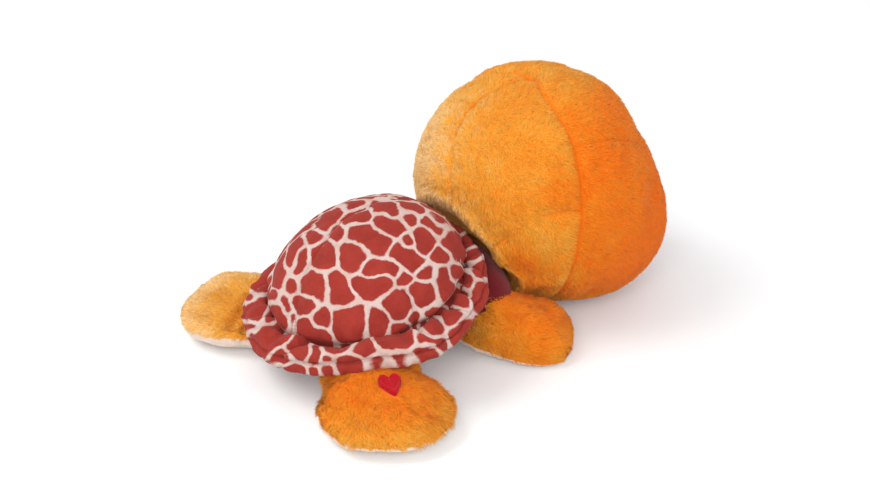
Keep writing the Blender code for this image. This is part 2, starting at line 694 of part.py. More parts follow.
class Flipper:
    """A flipper's size, place and outline, in metres from its root."""

    def __init__(self, name, side, outline, length, width, thick, root, aim_deg, root_lift):
        self.name = name
        self.side = side
        self.outline = closed_spline(outline, FLIPPER_STEPS) * [length, width]
        self.length = length
        self.middle = np.array([length * PILLOW_MIDDLE_SHARE, 0.0])
        self.thick = thick
        self.root_lift = root_lift
        self.root = np.array([side * root[0], root[1]])
        aim = math.radians(aim_deg)
        self.out = np.array([side * math.cos(aim), math.sin(aim)])
        self.across = np.array([-side * math.sin(aim), math.cos(aim)])
        self.pivot = np.array([*self.root, FLIPPER_SEAM + root_lift])

    def seam_height(self, out_reach):
        return FLIPPER_SEAM + self.root_lift * (1.0 - out_reach / self.length)

    def point(self, share, inset, above):
        """Surface over a share of the way from the middle to the outline, above or below the seam."""
        reach = np.linalg.norm(self.outline - self.middle, axis=1)
        drawn = self.middle + (self.outline - self.middle) * (share * (1.0 - inset / reach))[..., None]
        swell = pillow(share)
        seam = self.seam_height(drawn[..., 0])
        if above:
            height = seam + (self.thick - FLIPPER_SEAM - inset) * swell
        else:
            height = seam - (seam + FLAT_CUT - inset) * swell
        plan = self.root + drawn[..., :1] * self.out + drawn[..., 1:] * self.across
        placed = np.concatenate([plan, (height + 0.0 * drawn[..., 0])[..., None]], -1)
        lift_room = np.maximum(drawn[..., :1], 0.0) * math.tan(math.radians(LIFT_DEG))
        return lie_flat(body_clearance(placed, ROOT_GAP + inset, lift_room), inset)


def make_flipper(flipper, root, cloth):
    body = add_body(flipper.name, flipper.pivot, root)
    edge = 1.0 - SEAM_GAP / 2 / (flipper.length / 2)
    share = (np.linspace(0.0, 1.0, FLIPPER_ROWS + 1) ** PILLOW_ROW_POWER * edge)[:, None]
    top = capped(flipper.point(share, 0.0, True), flipper.point(share, FABRIC, True))
    add_piece(flipper.name + "_top", top, body, cloth["orange"])
    sole = capped(flipper.point(share, 0.0, False), flipper.point(share, FABRIC, False))
    add_piece(flipper.name + "_sole", sole, body, cloth["cream"])
    upper = flipper.point(share, LINING, True)
    lower = flipper.point(share, LINING, False)[::-1]
    add_piece(flipper.name + "_filling", ball(np.concatenate([upper, lower])), body, cloth["filling"])
    return body


def make_badge(flipper, body, cloth):
    """A small embroidered heart lying on a flipper."""
    outline = closed_spline(HEART_OUTLINE_SHARES, FLIPPER_STEPS) * [BADGE_LENGTH, BADGE_WIDTH]
    middle = np.array([flipper.length * BADGE_OUT_SHARE, 0.0])
    share = np.array(BADGE_ROW_SHARES)[:, None]
    drawn = middle + outline * share[..., None]
    height = surface_height(flipper, drawn)
    plan = flipper.root + drawn[..., :1] * flipper.out + drawn[..., 1:] * flipper.across
    low = np.concatenate([plan, (height + TOUCH_GAP)[..., None]], -1)
    rise = thread_rise(BADGE_RISE, share) + 0.0 * height
    high = np.concatenate([plan, (height + TOUCH_GAP + rise)[..., None]], -1)
    add_piece("embroidered_badge", capped(high, low), body, cloth["crimson"])


def surface_height(flipper, drawn):
    """Height of a flipper's top over plan places counted from its root."""
    offset = drawn - flipper.middle
    angle = np.arctan2(offset[..., 1], offset[..., 0])
    rim = flipper.outline - flipper.middle
    rim_angle = np.arctan2(rim[:, 1], rim[:, 0])
    order = np.argsort(rim_angle)
    reach = np.interp(angle, rim_angle[order], np.linalg.norm(rim, axis=1)[order], period=2 * math.pi)
    share = np.linalg.norm(offset, axis=-1) / reach
    return flipper.seam_height(drawn[..., 0]) + (flipper.thick - FLIPPER_SEAM) * pillow(share)


def make_flippers(root, cloth):
    sides = (("right", -1.0, 0.0, 0.0), ("left", 1.0, REAR_LEFT_TURN_DEG, REAR_LEFT_TUCK))
    for name, side, turn, tuck in sides:
        rear = Flipper("flipper_rear_" + name, side, REAR_OUTLINE_SHARES, REAR_LENGTH, REAR_WIDTH,
                       REAR_THICK, (REAR_ROOT_OUT - tuck, REAR_ROOT_BACK), REAR_AIM_DEG + turn,
                       REAR_ROOT_LIFT)
        body = make_flipper(rear, root, cloth)
        if name == "right":
            make_badge(rear, body, cloth)
        front = Flipper("flipper_front_" + name, side, FRONT_OUTLINE_SHARES, FRONT_LENGTH, FRONT_WIDTH,
                        FRONT_THICK, (FRONT_ROOT_OUT, -FRONT_ROOT_AHEAD), -FRONT_AIM_DEG,
                        FRONT_ROOT_LIFT)
        make_flipper(front, root, cloth)


def centre_on_ground(root):
    """Puts the middle of the whole turtle's box over the origin."""
    bpy.context.view_layer.update()
    corners = [piece.matrix_world @ Vector(corner) for piece in bpy.data.objects
               if piece.type == "MESH" and not piece.hide_render for corner in piece.bound_box]
    low = [min(corner[axis] for corner in corners) for axis in range(3)]
    high = [max(corner[axis] for corner in corners) for axis in range(3)]
    root.location = (-(low[0] + high[0]) / 2, -(low[1] + high[1]) / 2, -low[2])


def main():
    clear_scene()
    cloth = {
        "orange": fabric("orange_plush", (0.90, 0.36, 0.03)),
        "print": fabric("printed_plush", (0.42, 0.06, 0.05)),
        "maroon": fabric("maroon_plush", (0.20, 0.02, 0.03)),
        "cream": fabric("cream_plush", (0.86, 0.72, 0.62)),
        "filling": fabric("polyester_filling", (0.85, 0.85, 0.83)),
        "thread": fabric("brown_thread", (0.10, 0.03, 0.02), 0.6),
        "crimson": fabric("crimson_thread", (0.60, 0.01, 0.03), 0.5),
        "eye": fabric("black_eye", (0.01, 0.01, 0.01), 0.1),
        "washer": fabric("eye_washer", (0.75, 0.75, 0.72), 0.4),
    }
    root = bpy.data.objects.new("turtle", None)
    bpy.context.collection.objects.link(root)
    make_head(root, cloth)
    make_body(root, cloth)
    make_flippers(root, cloth)
    centre_on_ground(root)


main()
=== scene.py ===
"""Looks of the plush turtle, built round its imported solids.

Lengths in millimetres until a mesh is made, in the turtle's own frame: its origin is on the ground
under the middle of the shell's rim, the nose points along -Y and its right side is -X.
"""

import json
import math

import bpy
import numpy as np
from mathutils import Matrix, Vector
from mathutils.bvhtree import BVHTree
from mathutils.kdtree import KDTree


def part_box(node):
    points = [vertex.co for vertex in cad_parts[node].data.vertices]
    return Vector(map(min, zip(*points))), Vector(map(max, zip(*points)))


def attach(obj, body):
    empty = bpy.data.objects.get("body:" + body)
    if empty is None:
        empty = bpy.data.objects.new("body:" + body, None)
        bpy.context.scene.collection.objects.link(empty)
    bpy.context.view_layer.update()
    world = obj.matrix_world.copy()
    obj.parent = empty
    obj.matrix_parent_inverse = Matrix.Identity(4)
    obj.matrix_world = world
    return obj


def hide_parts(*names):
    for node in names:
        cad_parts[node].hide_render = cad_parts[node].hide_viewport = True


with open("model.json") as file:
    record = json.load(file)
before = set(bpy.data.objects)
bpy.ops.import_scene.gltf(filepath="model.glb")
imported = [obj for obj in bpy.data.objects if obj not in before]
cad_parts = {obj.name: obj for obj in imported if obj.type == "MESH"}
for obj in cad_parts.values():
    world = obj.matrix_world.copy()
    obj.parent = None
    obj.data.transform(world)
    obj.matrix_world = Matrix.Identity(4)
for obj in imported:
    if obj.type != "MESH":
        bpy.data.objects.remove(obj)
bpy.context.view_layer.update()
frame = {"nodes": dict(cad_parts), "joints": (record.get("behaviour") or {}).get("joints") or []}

MM = 0.001
NECK_BACK = 68.008           # from the rim's middle ahead to the neck's hinge
joint_places = {joint["name"]: np.array(joint["pos_m"]) / MM for joint in frame["joints"]}
ROOT = np.array([joint_places["head_nod"][0], joint_places["head_nod"][1] + NECK_BACK, 0.0])

# Camera, as solved from the outlines in the photograph
IMAGE_WIDTH, IMAGE_HEIGHT = 870, 489
CAMERA_TURN = 232.8
CAMERA_RISE = 28.1
CAMERA_DISTANCE = 1029.5
FOCAL_PIXELS = 1969.2
AIM_POINT = (0.0, 0.0, 38.0)
AIM_PIXEL = (369.3, 288.2)
SENSOR_WIDTH = 36.0


# Numbers, noise and curves

def noise(points, size, seed):
    """Smooth noise from -1 to 1 whose lumps are about size across."""
    table = np.random.default_rng(seed).uniform(-1.0, 1.0, (32, 32, 32))
    place = np.asarray(points) / size + 500.0
    whole = np.floor(place).astype(int)
    part = place - whole
    part = part * part * (3.0 - 2.0 * part)
    total = 0.0
    for corner in np.ndindex(2, 2, 2):
        at = (whole + corner) % 32
        weight = np.prod(np.where(corner, part, 1.0 - part), axis=-1)
        total = total + weight * table[at[..., 0], at[..., 1], at[..., 2]]
    return total


def noise_vector(points, size, seed):
    return np.stack([noise(points, size, seed + axis) for axis in range(3)], -1)


def unit(vectors):
    return vectors / np.maximum(np.linalg.norm(vectors, axis=-1, keepdims=True), 1e-9)


def between(before, here, after, beyond, part):
    """A smooth curve's place, a part of the way from one knot to the next."""
    return 0.5 * (2 * here + (after - before) * part
                  + (2 * before - 5 * here + 4 * after - beyond) * part ** 2
                  + (3 * here - before - 3 * after + beyond) * part ** 3)


def closed_curve(knots, steps):
    """A smooth closed curve through the knots."""
    knots = np.asarray(knots, float)
    places = np.arange(steps) * len(knots) / steps
    whole = places.astype(int)
    around = (knots[(whole + shift) % len(knots)] for shift in (-1, 0, 1, 2))
    return between(*around, (places - whole)[:, None])


def open_curve(knots, steps):
    """A smooth open curve through the knots."""
    knots = np.asarray(knots, float)
    padded = np.concatenate([2 * knots[:1] - knots[1:2], knots, 2 * knots[-1:] - knots[-2:-1]])
    places = np.linspace(0.0, len(knots) - 1.0, steps)
    whole = np.minimum(places.astype(int), len(knots) - 2)
    return between(*(padded[whole + shift] for shift in (0, 1, 2, 3)), (places - whole)[:, None])


LINE_BATCH, POINT_BATCH = 24, 8000      # how many are measured at a time, to spare memory


def nearest(points, line):
    """Distance from each point to the nearest point of a densely drawn line."""
    points = points.reshape(-1, 3)
    best = np.full(len(points), np.inf)
    for start in range(0, len(line), LINE_BATCH):
        some = line[start:start + LINE_BATCH]
        apart = ((points[:, None, :] - some[None]) ** 2).sum(-1)
        best = np.minimum(best, apart.min(1))
    return np.sqrt(best)


def gauss(distance, width):
    return np.exp(-(distance / width) ** 2)


def smooth_step(value, low, high):
    share = np.clip((value - low) / (high - low), 0.0, 1.0)
    return share * share * (3.0 - 2.0 * share)


def camera_axes():
    """Camera's place in the turtle's frame, and its directions right, up and back."""
    turn, rise = math.radians(CAMERA_TURN), math.radians(CAMERA_RISE)
    back = np.array([math.sin(turn) * math.cos(rise), -math.cos(turn) * math.cos(rise), math.sin(rise)])
    right = unit(np.cross((0.0, 0.0, 1.0), back))
    up = np.cross(back, right)
    off_x = (AIM_PIXEL[0] - IMAGE_WIDTH / 2) / FOCAL_PIXELS * CAMERA_DISTANCE
    off_y = (IMAGE_HEIGHT / 2 - AIM_PIXEL[1]) / FOCAL_PIXELS * CAMERA_DISTANCE
    return AIM_POINT + back * CAMERA_DISTANCE - right * off_x - up * off_y, right, up, back


# Meshes

def make_mesh(name, points, faces, materials, face_slots=None):
    """A mesh object in the row frame from points in millimetres in the turtle's frame."""
    faces = np.asarray(faces)
    own = faces != np.roll(faces, 1, axis=1)
    corners = faces[own].astype(np.int32)
    counts = own.sum(1).astype(np.int32)
    mesh = bpy.data.meshes.new(name)
    mesh.vertices.add(len(points))
    mesh.vertices.foreach_set("co", ((points + ROOT) * MM).astype(np.float32).ravel())
    mesh.loops.add(len(corners))
    mesh.loops.foreach_set("vertex_index", corners)
    mesh.polygons.add(len(faces))
    mesh.polygons.foreach_set("loop_start", (np.cumsum(counts) - counts).astype(np.int32))
    mesh.polygons.foreach_set("loop_total", counts)
    for material in materials:
        mesh.materials.append(material)
    if face_slots is not None:
        mesh.polygons.foreach_set("material_index", np.asarray(face_slots, np.int32))
    mesh.polygons.foreach_set("use_smooth", np.full(len(faces), True))
    mesh.update(calc_edges=True)
    mesh.validate()
    made = bpy.data.objects.new(name, mesh)
    bpy.context.scene.collection.objects.link(made)
    return made


def add_values(piece, name, values):
    attribute = piece.data.attributes.new(name, "FLOAT", "POINT")
    attribute.data.foreach_set("value", np.asarray(values, np.float32).ravel())


def grid_faces(rows, columns, closed=False):
    """Quads of rows of points that run round a form; closed joins the last row to the first."""
    down, across = np.meshgrid(np.arange(rows if closed else rows - 1), np.arange(columns), indexing="ij")
    after, below = (across + 1) % columns, (down + 1) % rows
    return np.stack([down * columns + across, down * columns + after,
                     below * columns + after, below * columns + across], -1).reshape(-1, 4)


def ball_mesh(grid):
    """Points and quads of a closed form from rows of points, of which the first and the last are poles."""
    rows, columns = grid.shape[:2]
    points = grid.reshape(-1, 3)[columns - 1:(rows - 1) * columns + 1]
    faces = np.clip(grid_faces(rows, columns), columns - 1, (rows - 1) * columns) - (columns - 1)
    return points, faces


def cube_ball(count):
    """Unit directions and quads of a ball whose faces are nearly alike in size."""
    edge = np.tan(np.linspace(-math.pi / 4, math.pi / 4, count + 1))
    u, v = np.meshgrid(edge, edge, indexing="ij")
    one = np.ones_like(u)
    sides = [(u, v, one), (v, u, -one), (one, u, v), (-one, v, u), (v, one, u), (u, -one, v)]
    points = np.concatenate([np.stack(side, -1).reshape(-1, 3) for side in sides])
    row, column = np.meshgrid(np.arange(count), np.arange(count), indexing="ij")
    corner = (row * (count + 1) + column).ravel()
    quads = np.stack([corner, corner + count + 1, corner + count + 2, corner + 1], -1)
    faces = np.concatenate([quads + side * (count + 1) ** 2 for side in range(6)])
    first, same = np.unique(np.round(points, 6), axis=0, return_index=True, return_inverse=True)[1:]
    return unit(points[first]), same.ravel()[faces]


def normals_of(points, faces):
    """Unit normals at the points of a mesh of quads."""
    corners = points[faces]
    across = np.cross(corners[:, 2] - corners[:, 0], corners[:, 3] - corners[:, 1])
    total = np.zeros_like(points)
    for side in range(faces.shape[1]):
        np.add.at(total, faces[:, side], across)
    return unit(total)


def out_facing(points, faces, centre):
    """Turns the faces of a closed form outward."""
    corners = points[faces] - centre
    volume = (corners[:, 0] * np.cross(corners[:, 1], corners[:, 2])).sum()
    volume += (corners[:, 0] * np.cross(corners[:, 2], corners[:, 3])).sum()
    return faces[:, ::-1] if volume < 0 else faces


# Materials

def new_material(name, colour, roughness, sheen=0.0, sheen_tint=(1.0, 1.0, 1.0), sheen_roughness=0.5):
    made = bpy.data.materials.new(name)
    made.use_nodes = True
    shader = made.node_tree.nodes["Principled BSDF"]
    shader.inputs["Base Color"].default_value = (*colour, 1.0)
    shader.inputs["Roughness"].default_value = roughness
    shader.inputs["Specular IOR Level"].default_value = 0.12
    shader.inputs["Sheen Weight"].default_value = sheen
    shader.inputs["Sheen Tint"].default_value = (*sheen_tint, 1.0)
    shader.inputs["Sheen Roughness"].default_value = sheen_roughness
    return made


def add_node(made, kind, values=None):
    """A shader node with values for its settings by name and its sockets by name or number."""
    node = made.node_tree.nodes.new(kind)
    for key, value in (values or {}).items():
        if isinstance(key, str) and hasattr(node, key):
            setattr(node, key, value)
        else:
            node.inputs[key].default_value = value
    return node


def link(made, source, target):
    made.node_tree.links.new(source, target)


def object_noise(made, size_mm, detail=2.0, roughness=0.5):
    place = add_node(made, "ShaderNodeTexCoord")
    node = add_node(made, "ShaderNodeTexNoise", {
        "Scale": 1.0 / (size_mm * MM), "Detail": detail, "Roughness": roughness, "Distortion": 0.0})
    link(made, place.outputs["Object"], node.inputs["Vector"])
    return node.outputs["Fac"]


def ramp(made, source, stops):
    node = add_node(made, "ShaderNodeValToRGB")
    while len(node.color_ramp.elements) < len(stops):
        node.color_ramp.elements.new(0.5)
    for element, (place, colour) in zip(node.color_ramp.elements, stops):
        element.position = place
        element.color = (*colour, 1.0)
    link(made, source, node.inputs["Fac"])
    return node.outputs["Color"]


def attribute(made, name):
    return add_node(made, "ShaderNodeAttribute", {"attribute_name": name}).outputs["Fac"]


def mix(made, share, first, second, kind="MIX"):
    node = add_node(made, "ShaderNodeMix", {"data_type": "RGBA", "blend_type": kind})
    for socket, source in ((node.inputs[0], share), (node.inputs[6], first), (node.inputs[7], second)):
        if isinstance(source, (int, float)):
            socket.default_value = source
        elif isinstance(source, tuple):
            socket.default_value = (*source, 1.0)
        else:
            link(made, source, socket)
    return node.outputs[2]


def math_node(made, operation, first, second=0.0, clamp=False):
    node = add_node(made, "ShaderNodeMath", {"operation": operation, "use_clamp": clamp})
    for socket, source in zip(node.inputs, (first, second)):
        if isinstance(source, (int, float)):
            socket.default_value = source
        else:
            link(made, source, socket)
    return node.outputs[0]


def varied(made, source, share):
    """A value from 0 to 1 as a change of up to half a share either way."""
    return math_node(made, "MULTIPLY", math_node(made, "SUBTRACT", source, 0.5), share)


def shader_of(made):
    return made.node_tree.nodes["Principled BSDF"]


def finish_plush(made, tone, relief, depth_mm):
    """Links a colour to a material, and a relief of a depth."""
    link(made, tone, shader_of(made).inputs["Base Color"])
    node = add_node(made, "ShaderNodeBump", {"Strength": 1.0, "Distance": depth_mm * MM})
    link(made, relief, node.inputs["Height"])
    link(made, node.outputs["Normal"], shader_of(made).inputs["Normal"])


ORANGE_DEEP = (0.90, 0.178, 0.006)
ORANGE_MID = (0.87, 0.290, 0.020)
ORANGE_WARM = (0.86, 0.415, 0.052)
ORANGE_PALE = (0.92, 0.610, 0.280)
BRICK = (0.250, 0.016, 0.010)
BRICK_PALE = (0.330, 0.028, 0.019)
PRINT_LINE = (0.60, 0.48, 0.44)
PRINT_LINE_WORN = (0.55, 0.38, 0.33)
PRINT_WORN = (0.60, 0.22, 0.18)
# Partly painted shade: the chest's own maroon darkened to its shaded look.
MAROON_IN_SHADE = (0.150, 0.012, 0.016)
CREAM = (0.86, 0.68, 0.58)
CRIMSON = (0.55, 0.006, 0.016)
BROWN = (0.045, 0.012, 0.008)
EYE_BLACK = (0.004, 0.0035, 0.0035)
WASHER_WHITE = (0.72, 0.72, 0.69)
SKIN_PAINTED_SHADE = (0.90, 0.84, 0.78)       # painted shade: the backing is darker than the pile's tips, as under the pile
PILE_CLEARNESS = 0.12        # share of the light that passes through a strand


def orange_tone(made, shift):
    """The pile's orange from deep to pale: its own tone with painted light and shade, pale where painted as
    lit and deep where painted as shaded.
    """
    blotch = varied(made, object_noise(made, 16.0, 3.0), 0.42)
    nap_and_light = math_node(made, "ADD", math_node(made, "ADD", attribute(made, "nap_and_light"), blotch), shift, clamp=True)
    return ramp(made, nap_and_light, [(0.0, ORANGE_DEEP), (0.4, ORANGE_MID), (0.7, ORANGE_WARM), (1.0, ORANGE_PALE)])


def orange_skin():
    made = new_material("orange_plush_skin", ORANGE_MID, 0.95, 0.15, (1.0, 0.72, 0.35), 0.45)
    # The backing is painted deeper and darker than the pile: painted shade under the pile and in the seams'
    # furrows.
    tone = mix(made, 1.0, orange_tone(made, -0.15), SKIN_PAINTED_SHADE, "MULTIPLY")
    finish_plush(made, tone, object_noise(made, 0.8, 3.0, 0.7), 0.5)
    return made


def orange_pile():
    made = new_material("orange_plush_pile", ORANGE_MID, 0.9, 0.15, (1.0, 0.78, 0.45), 0.4)
    # Roots painted deeper and tips paler: painted shade within the pile, most of whose strands cast no
    # shadow.
    shift = math_node(made, "ADD", math_node(made, "MULTIPLY", attribute(made, "along"), 0.28), -0.14)
    tone = orange_tone(made, math_node(made, "ADD", shift, varied(made, attribute(made, "tone"), 0.18)))
    link(made, tone, shader_of(made).inputs["Base Color"])
    through = add_node(made, "ShaderNodeBsdfTranslucent")
    link(made, tone, through.inputs["Color"])
    both = add_node(made, "ShaderNodeMixShader", {0: PILE_CLEARNESS})
    link(made, shader_of(made).outputs[0], both.inputs[1])
    link(made, through.outputs[0], both.inputs[2])
    link(made, both.outputs[0], made.node_tree.nodes["Material Output"].inputs["Surface"])
    return made


def printed_plush():
    made = new_material("printed_plush", BRICK, 0.9, 0.07, (1.0, 0.72, 0.70), 0.45)
    fuzz = varied(made, object_noise(made, 0.9, 2.0, 0.7), 0.9)
    edge = math_node(made, "ADD", attribute(made, "patch"), fuzz)
    inside = math_node(made, "ADD", math_node(made, "MULTIPLY", edge, 1.6), 0.5, clamp=True)
    brick = ramp(made, object_noise(made, 9.0, 3.0, 0.6), [(0.30, BRICK), (0.72, BRICK_PALE)])
    line = ramp(made, object_noise(made, 6.0, 2.0), [(0.30, PRINT_LINE_WORN), (0.62, PRINT_LINE)])
    tone = mix(made, inside, line, brick)
    worn = math_node(made, "MULTIPLY", object_noise(made, 0.7, 2.0, 0.7), 0.10)
    tone = mix(made, worn, tone, PRINT_WORN)
    finish_plush(made, tone, object_noise(made, 0.55, 2.0, 0.7), 0.25)
    return made


def plain_plush(name, colour, pale, sheen):
    made = new_material(name, colour, 0.95, sheen, pale, 0.5)
    stops = [(0.3, tuple(0.85 * part for part in colour)), (0.7, colour)]
    tone = ramp(made, object_noise(made, 5.0, 3.0), stops)
    finish_plush(made, tone, object_noise(made, 0.6, 2.0, 0.7), 0.3)
    return made


def thread(name, colour):
    made = new_material(name, colour, 0.45, 0.2, (1.0, 1.0, 1.0), 0.3)
    place = add_node(made, "ShaderNodeTexCoord")
    wave = add_node(made, "ShaderNodeTexWave", {"Scale": 1.0 / (1.1 * MM), "Distortion": 1.0})
    link(made, place.outputs["Object"], wave.inputs["Vector"])
    # Darker in the low parts of the twist's relief: painted shade in its grooves.
    tone = ramp(made, wave.outputs["Fac"], [(0.0, tuple(0.7 * part for part in colour)), (1.0, colour)])
    finish_plush(made, tone, wave.outputs["Fac"], 0.08)
    return made


def gloss(name, colour, roughness, coat):
    made = new_material(name, colour, roughness)
    shader = shader_of(made)
    shader.inputs["Coat Weight"].default_value = coat
    shader.inputs["Specular IOR Level"].default_value = 0.35
    stops = [(0.0, (roughness,) * 3), (1.0, (roughness * 1.6,) * 3)]
    link(made, ramp(made, object_noise(made, 3.0, 2.0), stops), shader.inputs["Roughness"])
    return made


MATERIALS = {
    "skin": orange_skin(),
    "pile": orange_pile(),
    "print": printed_plush(),
    "maroon": plain_plush("maroon_plush", MAROON_IN_SHADE, (1.0, 0.5, 0.5), 0.25),
    "cream": plain_plush("cream_plush", CREAM, (1.0, 0.95, 0.9), 0.3),
    "crimson": thread("crimson_thread", CRIMSON),
    "brown": thread("brown_thread", BROWN),
    "eye": gloss("black_eye", EYE_BLACK, 0.10, 0.25),
    "washer": gloss("eye_washer", WASHER_WHITE, 0.4, 0.0),
}


# Frames

PITCH = math.radians(14.0)
SHELL_HEIGHT = 38.0


def pitched(points, angle):
    x, y, z = np.moveaxis(np.asarray(points, float), -1, 0)
    return np.stack([x, y * math.cos(angle) + z * math.sin(angle),
                     -y * math.sin(angle) + z * math.cos(angle)], -1)


def shell_to_turtle(points):
    return pitched(points, PITCH) + [0.0, 0.0, SHELL_HEIGHT]


def turtle_to_shell(points):
    return pitched(np.asarray(points, float) - [0.0, 0.0, SHELL_HEIGHT], -PITCH)


def ray_hits(start, aims, centre, radii):
    """How far along each aim a ball stretched to radii is met and left: infinite and zero where missed."""
    start = (start - centre) / radii
    step = aims / radii
    a = (step * step).sum(-1)
    b = (start * step).sum(-1)
    c = (start * start).sum(-1) - 1.0
    inside = b * b - a * c
    root = np.sqrt(np.maximum(inside, 0.0))
    missed = (inside <= 0.0) | (-b + root <= 0.0)
    return np.where(missed, np.inf, (-b - root) / a), np.where(missed, 0.0, (-b + root) / a)


def soft_min(first, second, blend):
    return -blend * np.logaddexp(-first / blend, -second / blend)


# Fur: short closed tapering strands

def random_places(points, faces, density, rng):
    """Random points on the quads, density of them a square millimetre, with the number of each quad."""
    a, b, c, d = (points[faces[:, side]] for side in range(4))
    area = np.linalg.norm(np.cross(c - a, d - b), axis=1) / 2
    count = np.floor(area * density + rng.random(len(faces))).astype(int)
    chosen = np.repeat(np.arange(len(faces)), count)
    u, v = rng.random((2, len(chosen), 1))
    a, b, c, d = (side[chosen] for side in (a, b, c, d))
    return chosen, (a * (1 - u) + b * u) * (1 - v) + (d * (1 - u) + c * u) * v


STRANDS_A_PIECE = 49000
PILE_PIECES = 4              # at least, of which one casts shadows: real pile scatters light on to its roots
ROOT_DEPTH = 0.3             # how far a strand starts inside the skin
LOWEST_PILE = 0.05           # over the ground
HEAD_PILE_DENSITY, FLIPPER_PILE_DENSITY = 3.2, 3.4      # strands a square millimetre
HEAD_PILE_WIDTH, FLIPPER_PILE_WIDTH = 0.34, 0.36
HEAD_PILE_LENGTH = 2.8       # flippers have their own, in make_flippers


def fur(name, roots, normals, comb, length, width, lift, nap_and_light, rng, body):
    """Short tapering strands of pile from roots, combed along comb and lifted off it by lift.

    The undersides of strands are shaded as they lie, the rest like the cloth that they stand on."""
    along = unit(comb - (comb * normals).sum(-1, keepdims=True) * normals)
    aside = np.cross(normals, along)
    length, lift, nap_and_light = length[:, None], lift[:, None], nap_and_light[:, None]
    base = roots - normals * ROOT_DEPTH
    tip = base + (normals * np.sin(lift) + along * np.cos(lift)) * length
    corners = [base + (along * math.cos(turn) * 0.5 + aside * math.sin(turn)) * width
               for turn in (0.0, 2.1, 4.2)]
    points = np.stack(corners + [tip], 1)
    points[..., 2] = np.maximum(points[..., 2], LOWEST_PILE)
    pattern = np.array([(0, 1, 3), (1, 2, 3), (2, 0, 3), (2, 1, 0)])
    first, second, third = (points[:, pattern[:, side]] for side in range(3))
    facet = unit(np.cross(second - first, third - first))
    outward = first.mean(1, keepdims=True) - points.mean(1, keepdims=True)
    facet *= np.sign((facet * outward).sum(-1, keepdims=True) + 1e-9)
    under = smooth_step((facet * normals[:, None]).sum(-1, keepdims=True), 0.15, -0.35)
    shading = unit(normals + 0.35 * rng.normal(size=normals.shape))[:, None] * (1.0 - under) + facet * under
    shading = np.repeat(unit(shading)[:, :, None], 3, axis=2)
    tone = rng.random(len(roots))
    nap_and_light = nap_and_light + (0.08 * noise(roots, 1.7, 13) + 0.04 * noise(roots, 4.5, 17))[:, None]
    parts = max(PILE_PIECES, math.ceil(len(roots) / STRANDS_A_PIECE))
    for part in range(parts):
        some = slice(part, None, parts)
        count = len(points[some])
        faces = ((np.arange(count) * 4)[:, None, None] + pattern[None]).reshape(-1, 3)
        piece = make_mesh(f"{name}_{part + 1}", points[some].reshape(-1, 3), faces, [MATERIALS["pile"]])
        add_values(piece, "along", np.tile([0, 0, 0, 1.0], count))
        add_values(piece, "tone", np.repeat(tone[some], 4))
        add_values(piece, "nap_and_light", np.repeat(nap_and_light[some], 4))
        piece.data.normals_split_custom_set(shading[some].reshape(-1, 3))
        piece.visible_shadow = part == 0
        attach(piece, body)


# Cloth that swells against its stuffing

CLOTH_FRAMES = 20
CLOTH_PRESSURE = 4.0


def remeshed(name, points, faces, size):
    """A copy of a closed surface with even faces about size millimetres wide, and its points."""
    rough = make_mesh(name, points, faces, [])
    rough.modifiers.new("even", "REMESH").mode = "VOXEL"
    rough.modifiers["even"].voxel_size = size * MM
    mesh = bpy.data.meshes.new_from_object(rough.evaluated_get(bpy.context.evaluated_depsgraph_get()))
    bpy.data.objects.remove(rough)
    copy = bpy.data.objects.new(name, mesh)
    bpy.context.scene.collection.objects.link(copy)
    return copy, mesh_places(mesh)


def mesh_places(mesh):
    places = np.empty(len(mesh.vertices) * 3)
    mesh.vertices.foreach_get("co", places)
    return places.reshape(-1, 3)


def tree_of(places):
    tree = KDTree(len(places))
    for index, place in enumerate(places):
        tree.insert(place, index)
    tree.balance()
    return tree


def near_points(tree, place, count, reach):
    """Numbers of the points of a tree nearest to a place, with weights that fall off over reach."""
    found = tree.find_n(place, count)
    weights = np.exp(-(np.array([item[2] for item in found]) / reach) ** 2) + 1e-9
    return [item[1] for item in found], weights / weights.sum()


def stuffed(name, points, faces, held, size, limit, growth):
    """Points of a stuffed cover after its cloth has swelled against its stuffing.

    No point moves further than limit millimetres. held is 1 where the cloth is sewn down or rests on
    something, and growth is the slack in the cloth."""
    copy, start = remeshed(name, points, faces, size)
    places = points * MM + ROOT * MM
    tree = tree_of(places)
    pins = copy.vertex_groups.new(name="held")
    for index, place in enumerate(start):
        pins.add([index], float(held[tree.find(place)[1]]), "REPLACE")
    cloth = copy.modifiers.new("cloth", "CLOTH")
    cloth.settings.use_pressure = True
    cloth.settings.uniform_pressure_force = CLOTH_PRESSURE
    cloth.settings.vertex_group_mass = "held"
    cloth.settings.shrink_min = -growth
    cloth.settings.compression_stiffness = 5.0
    cloth.settings.bending_stiffness = 0.3
    cloth.settings.effector_weights.gravity = 0.0
    cloth.point_cache.frame_start = 1
    cloth.point_cache.frame_end = CLOTH_FRAMES
    scene = bpy.context.scene
    for frame_number in range(1, CLOTH_FRAMES + 1):
        scene.frame_set(frame_number)
    end = mesh_places(copy.evaluated_get(bpy.context.evaluated_depsgraph_get()).to_mesh())
    move = (end - start) / MM
    bpy.data.objects.remove(copy)
    scene.frame_set(1)
    far = np.linalg.norm(move, axis=1, keepdims=True)
    move = move * (limit * np.tanh(far / limit) / np.maximum(far, 1e-9))
    tree = tree_of(start)
    moved = np.empty(points.shape)
    for index, place in enumerate(places):
        nearby, weights = near_points(tree, place, 5, 0.7 * size * MM)
        moved[index] = weights @ move[nearby]
    return points + moved


# Head

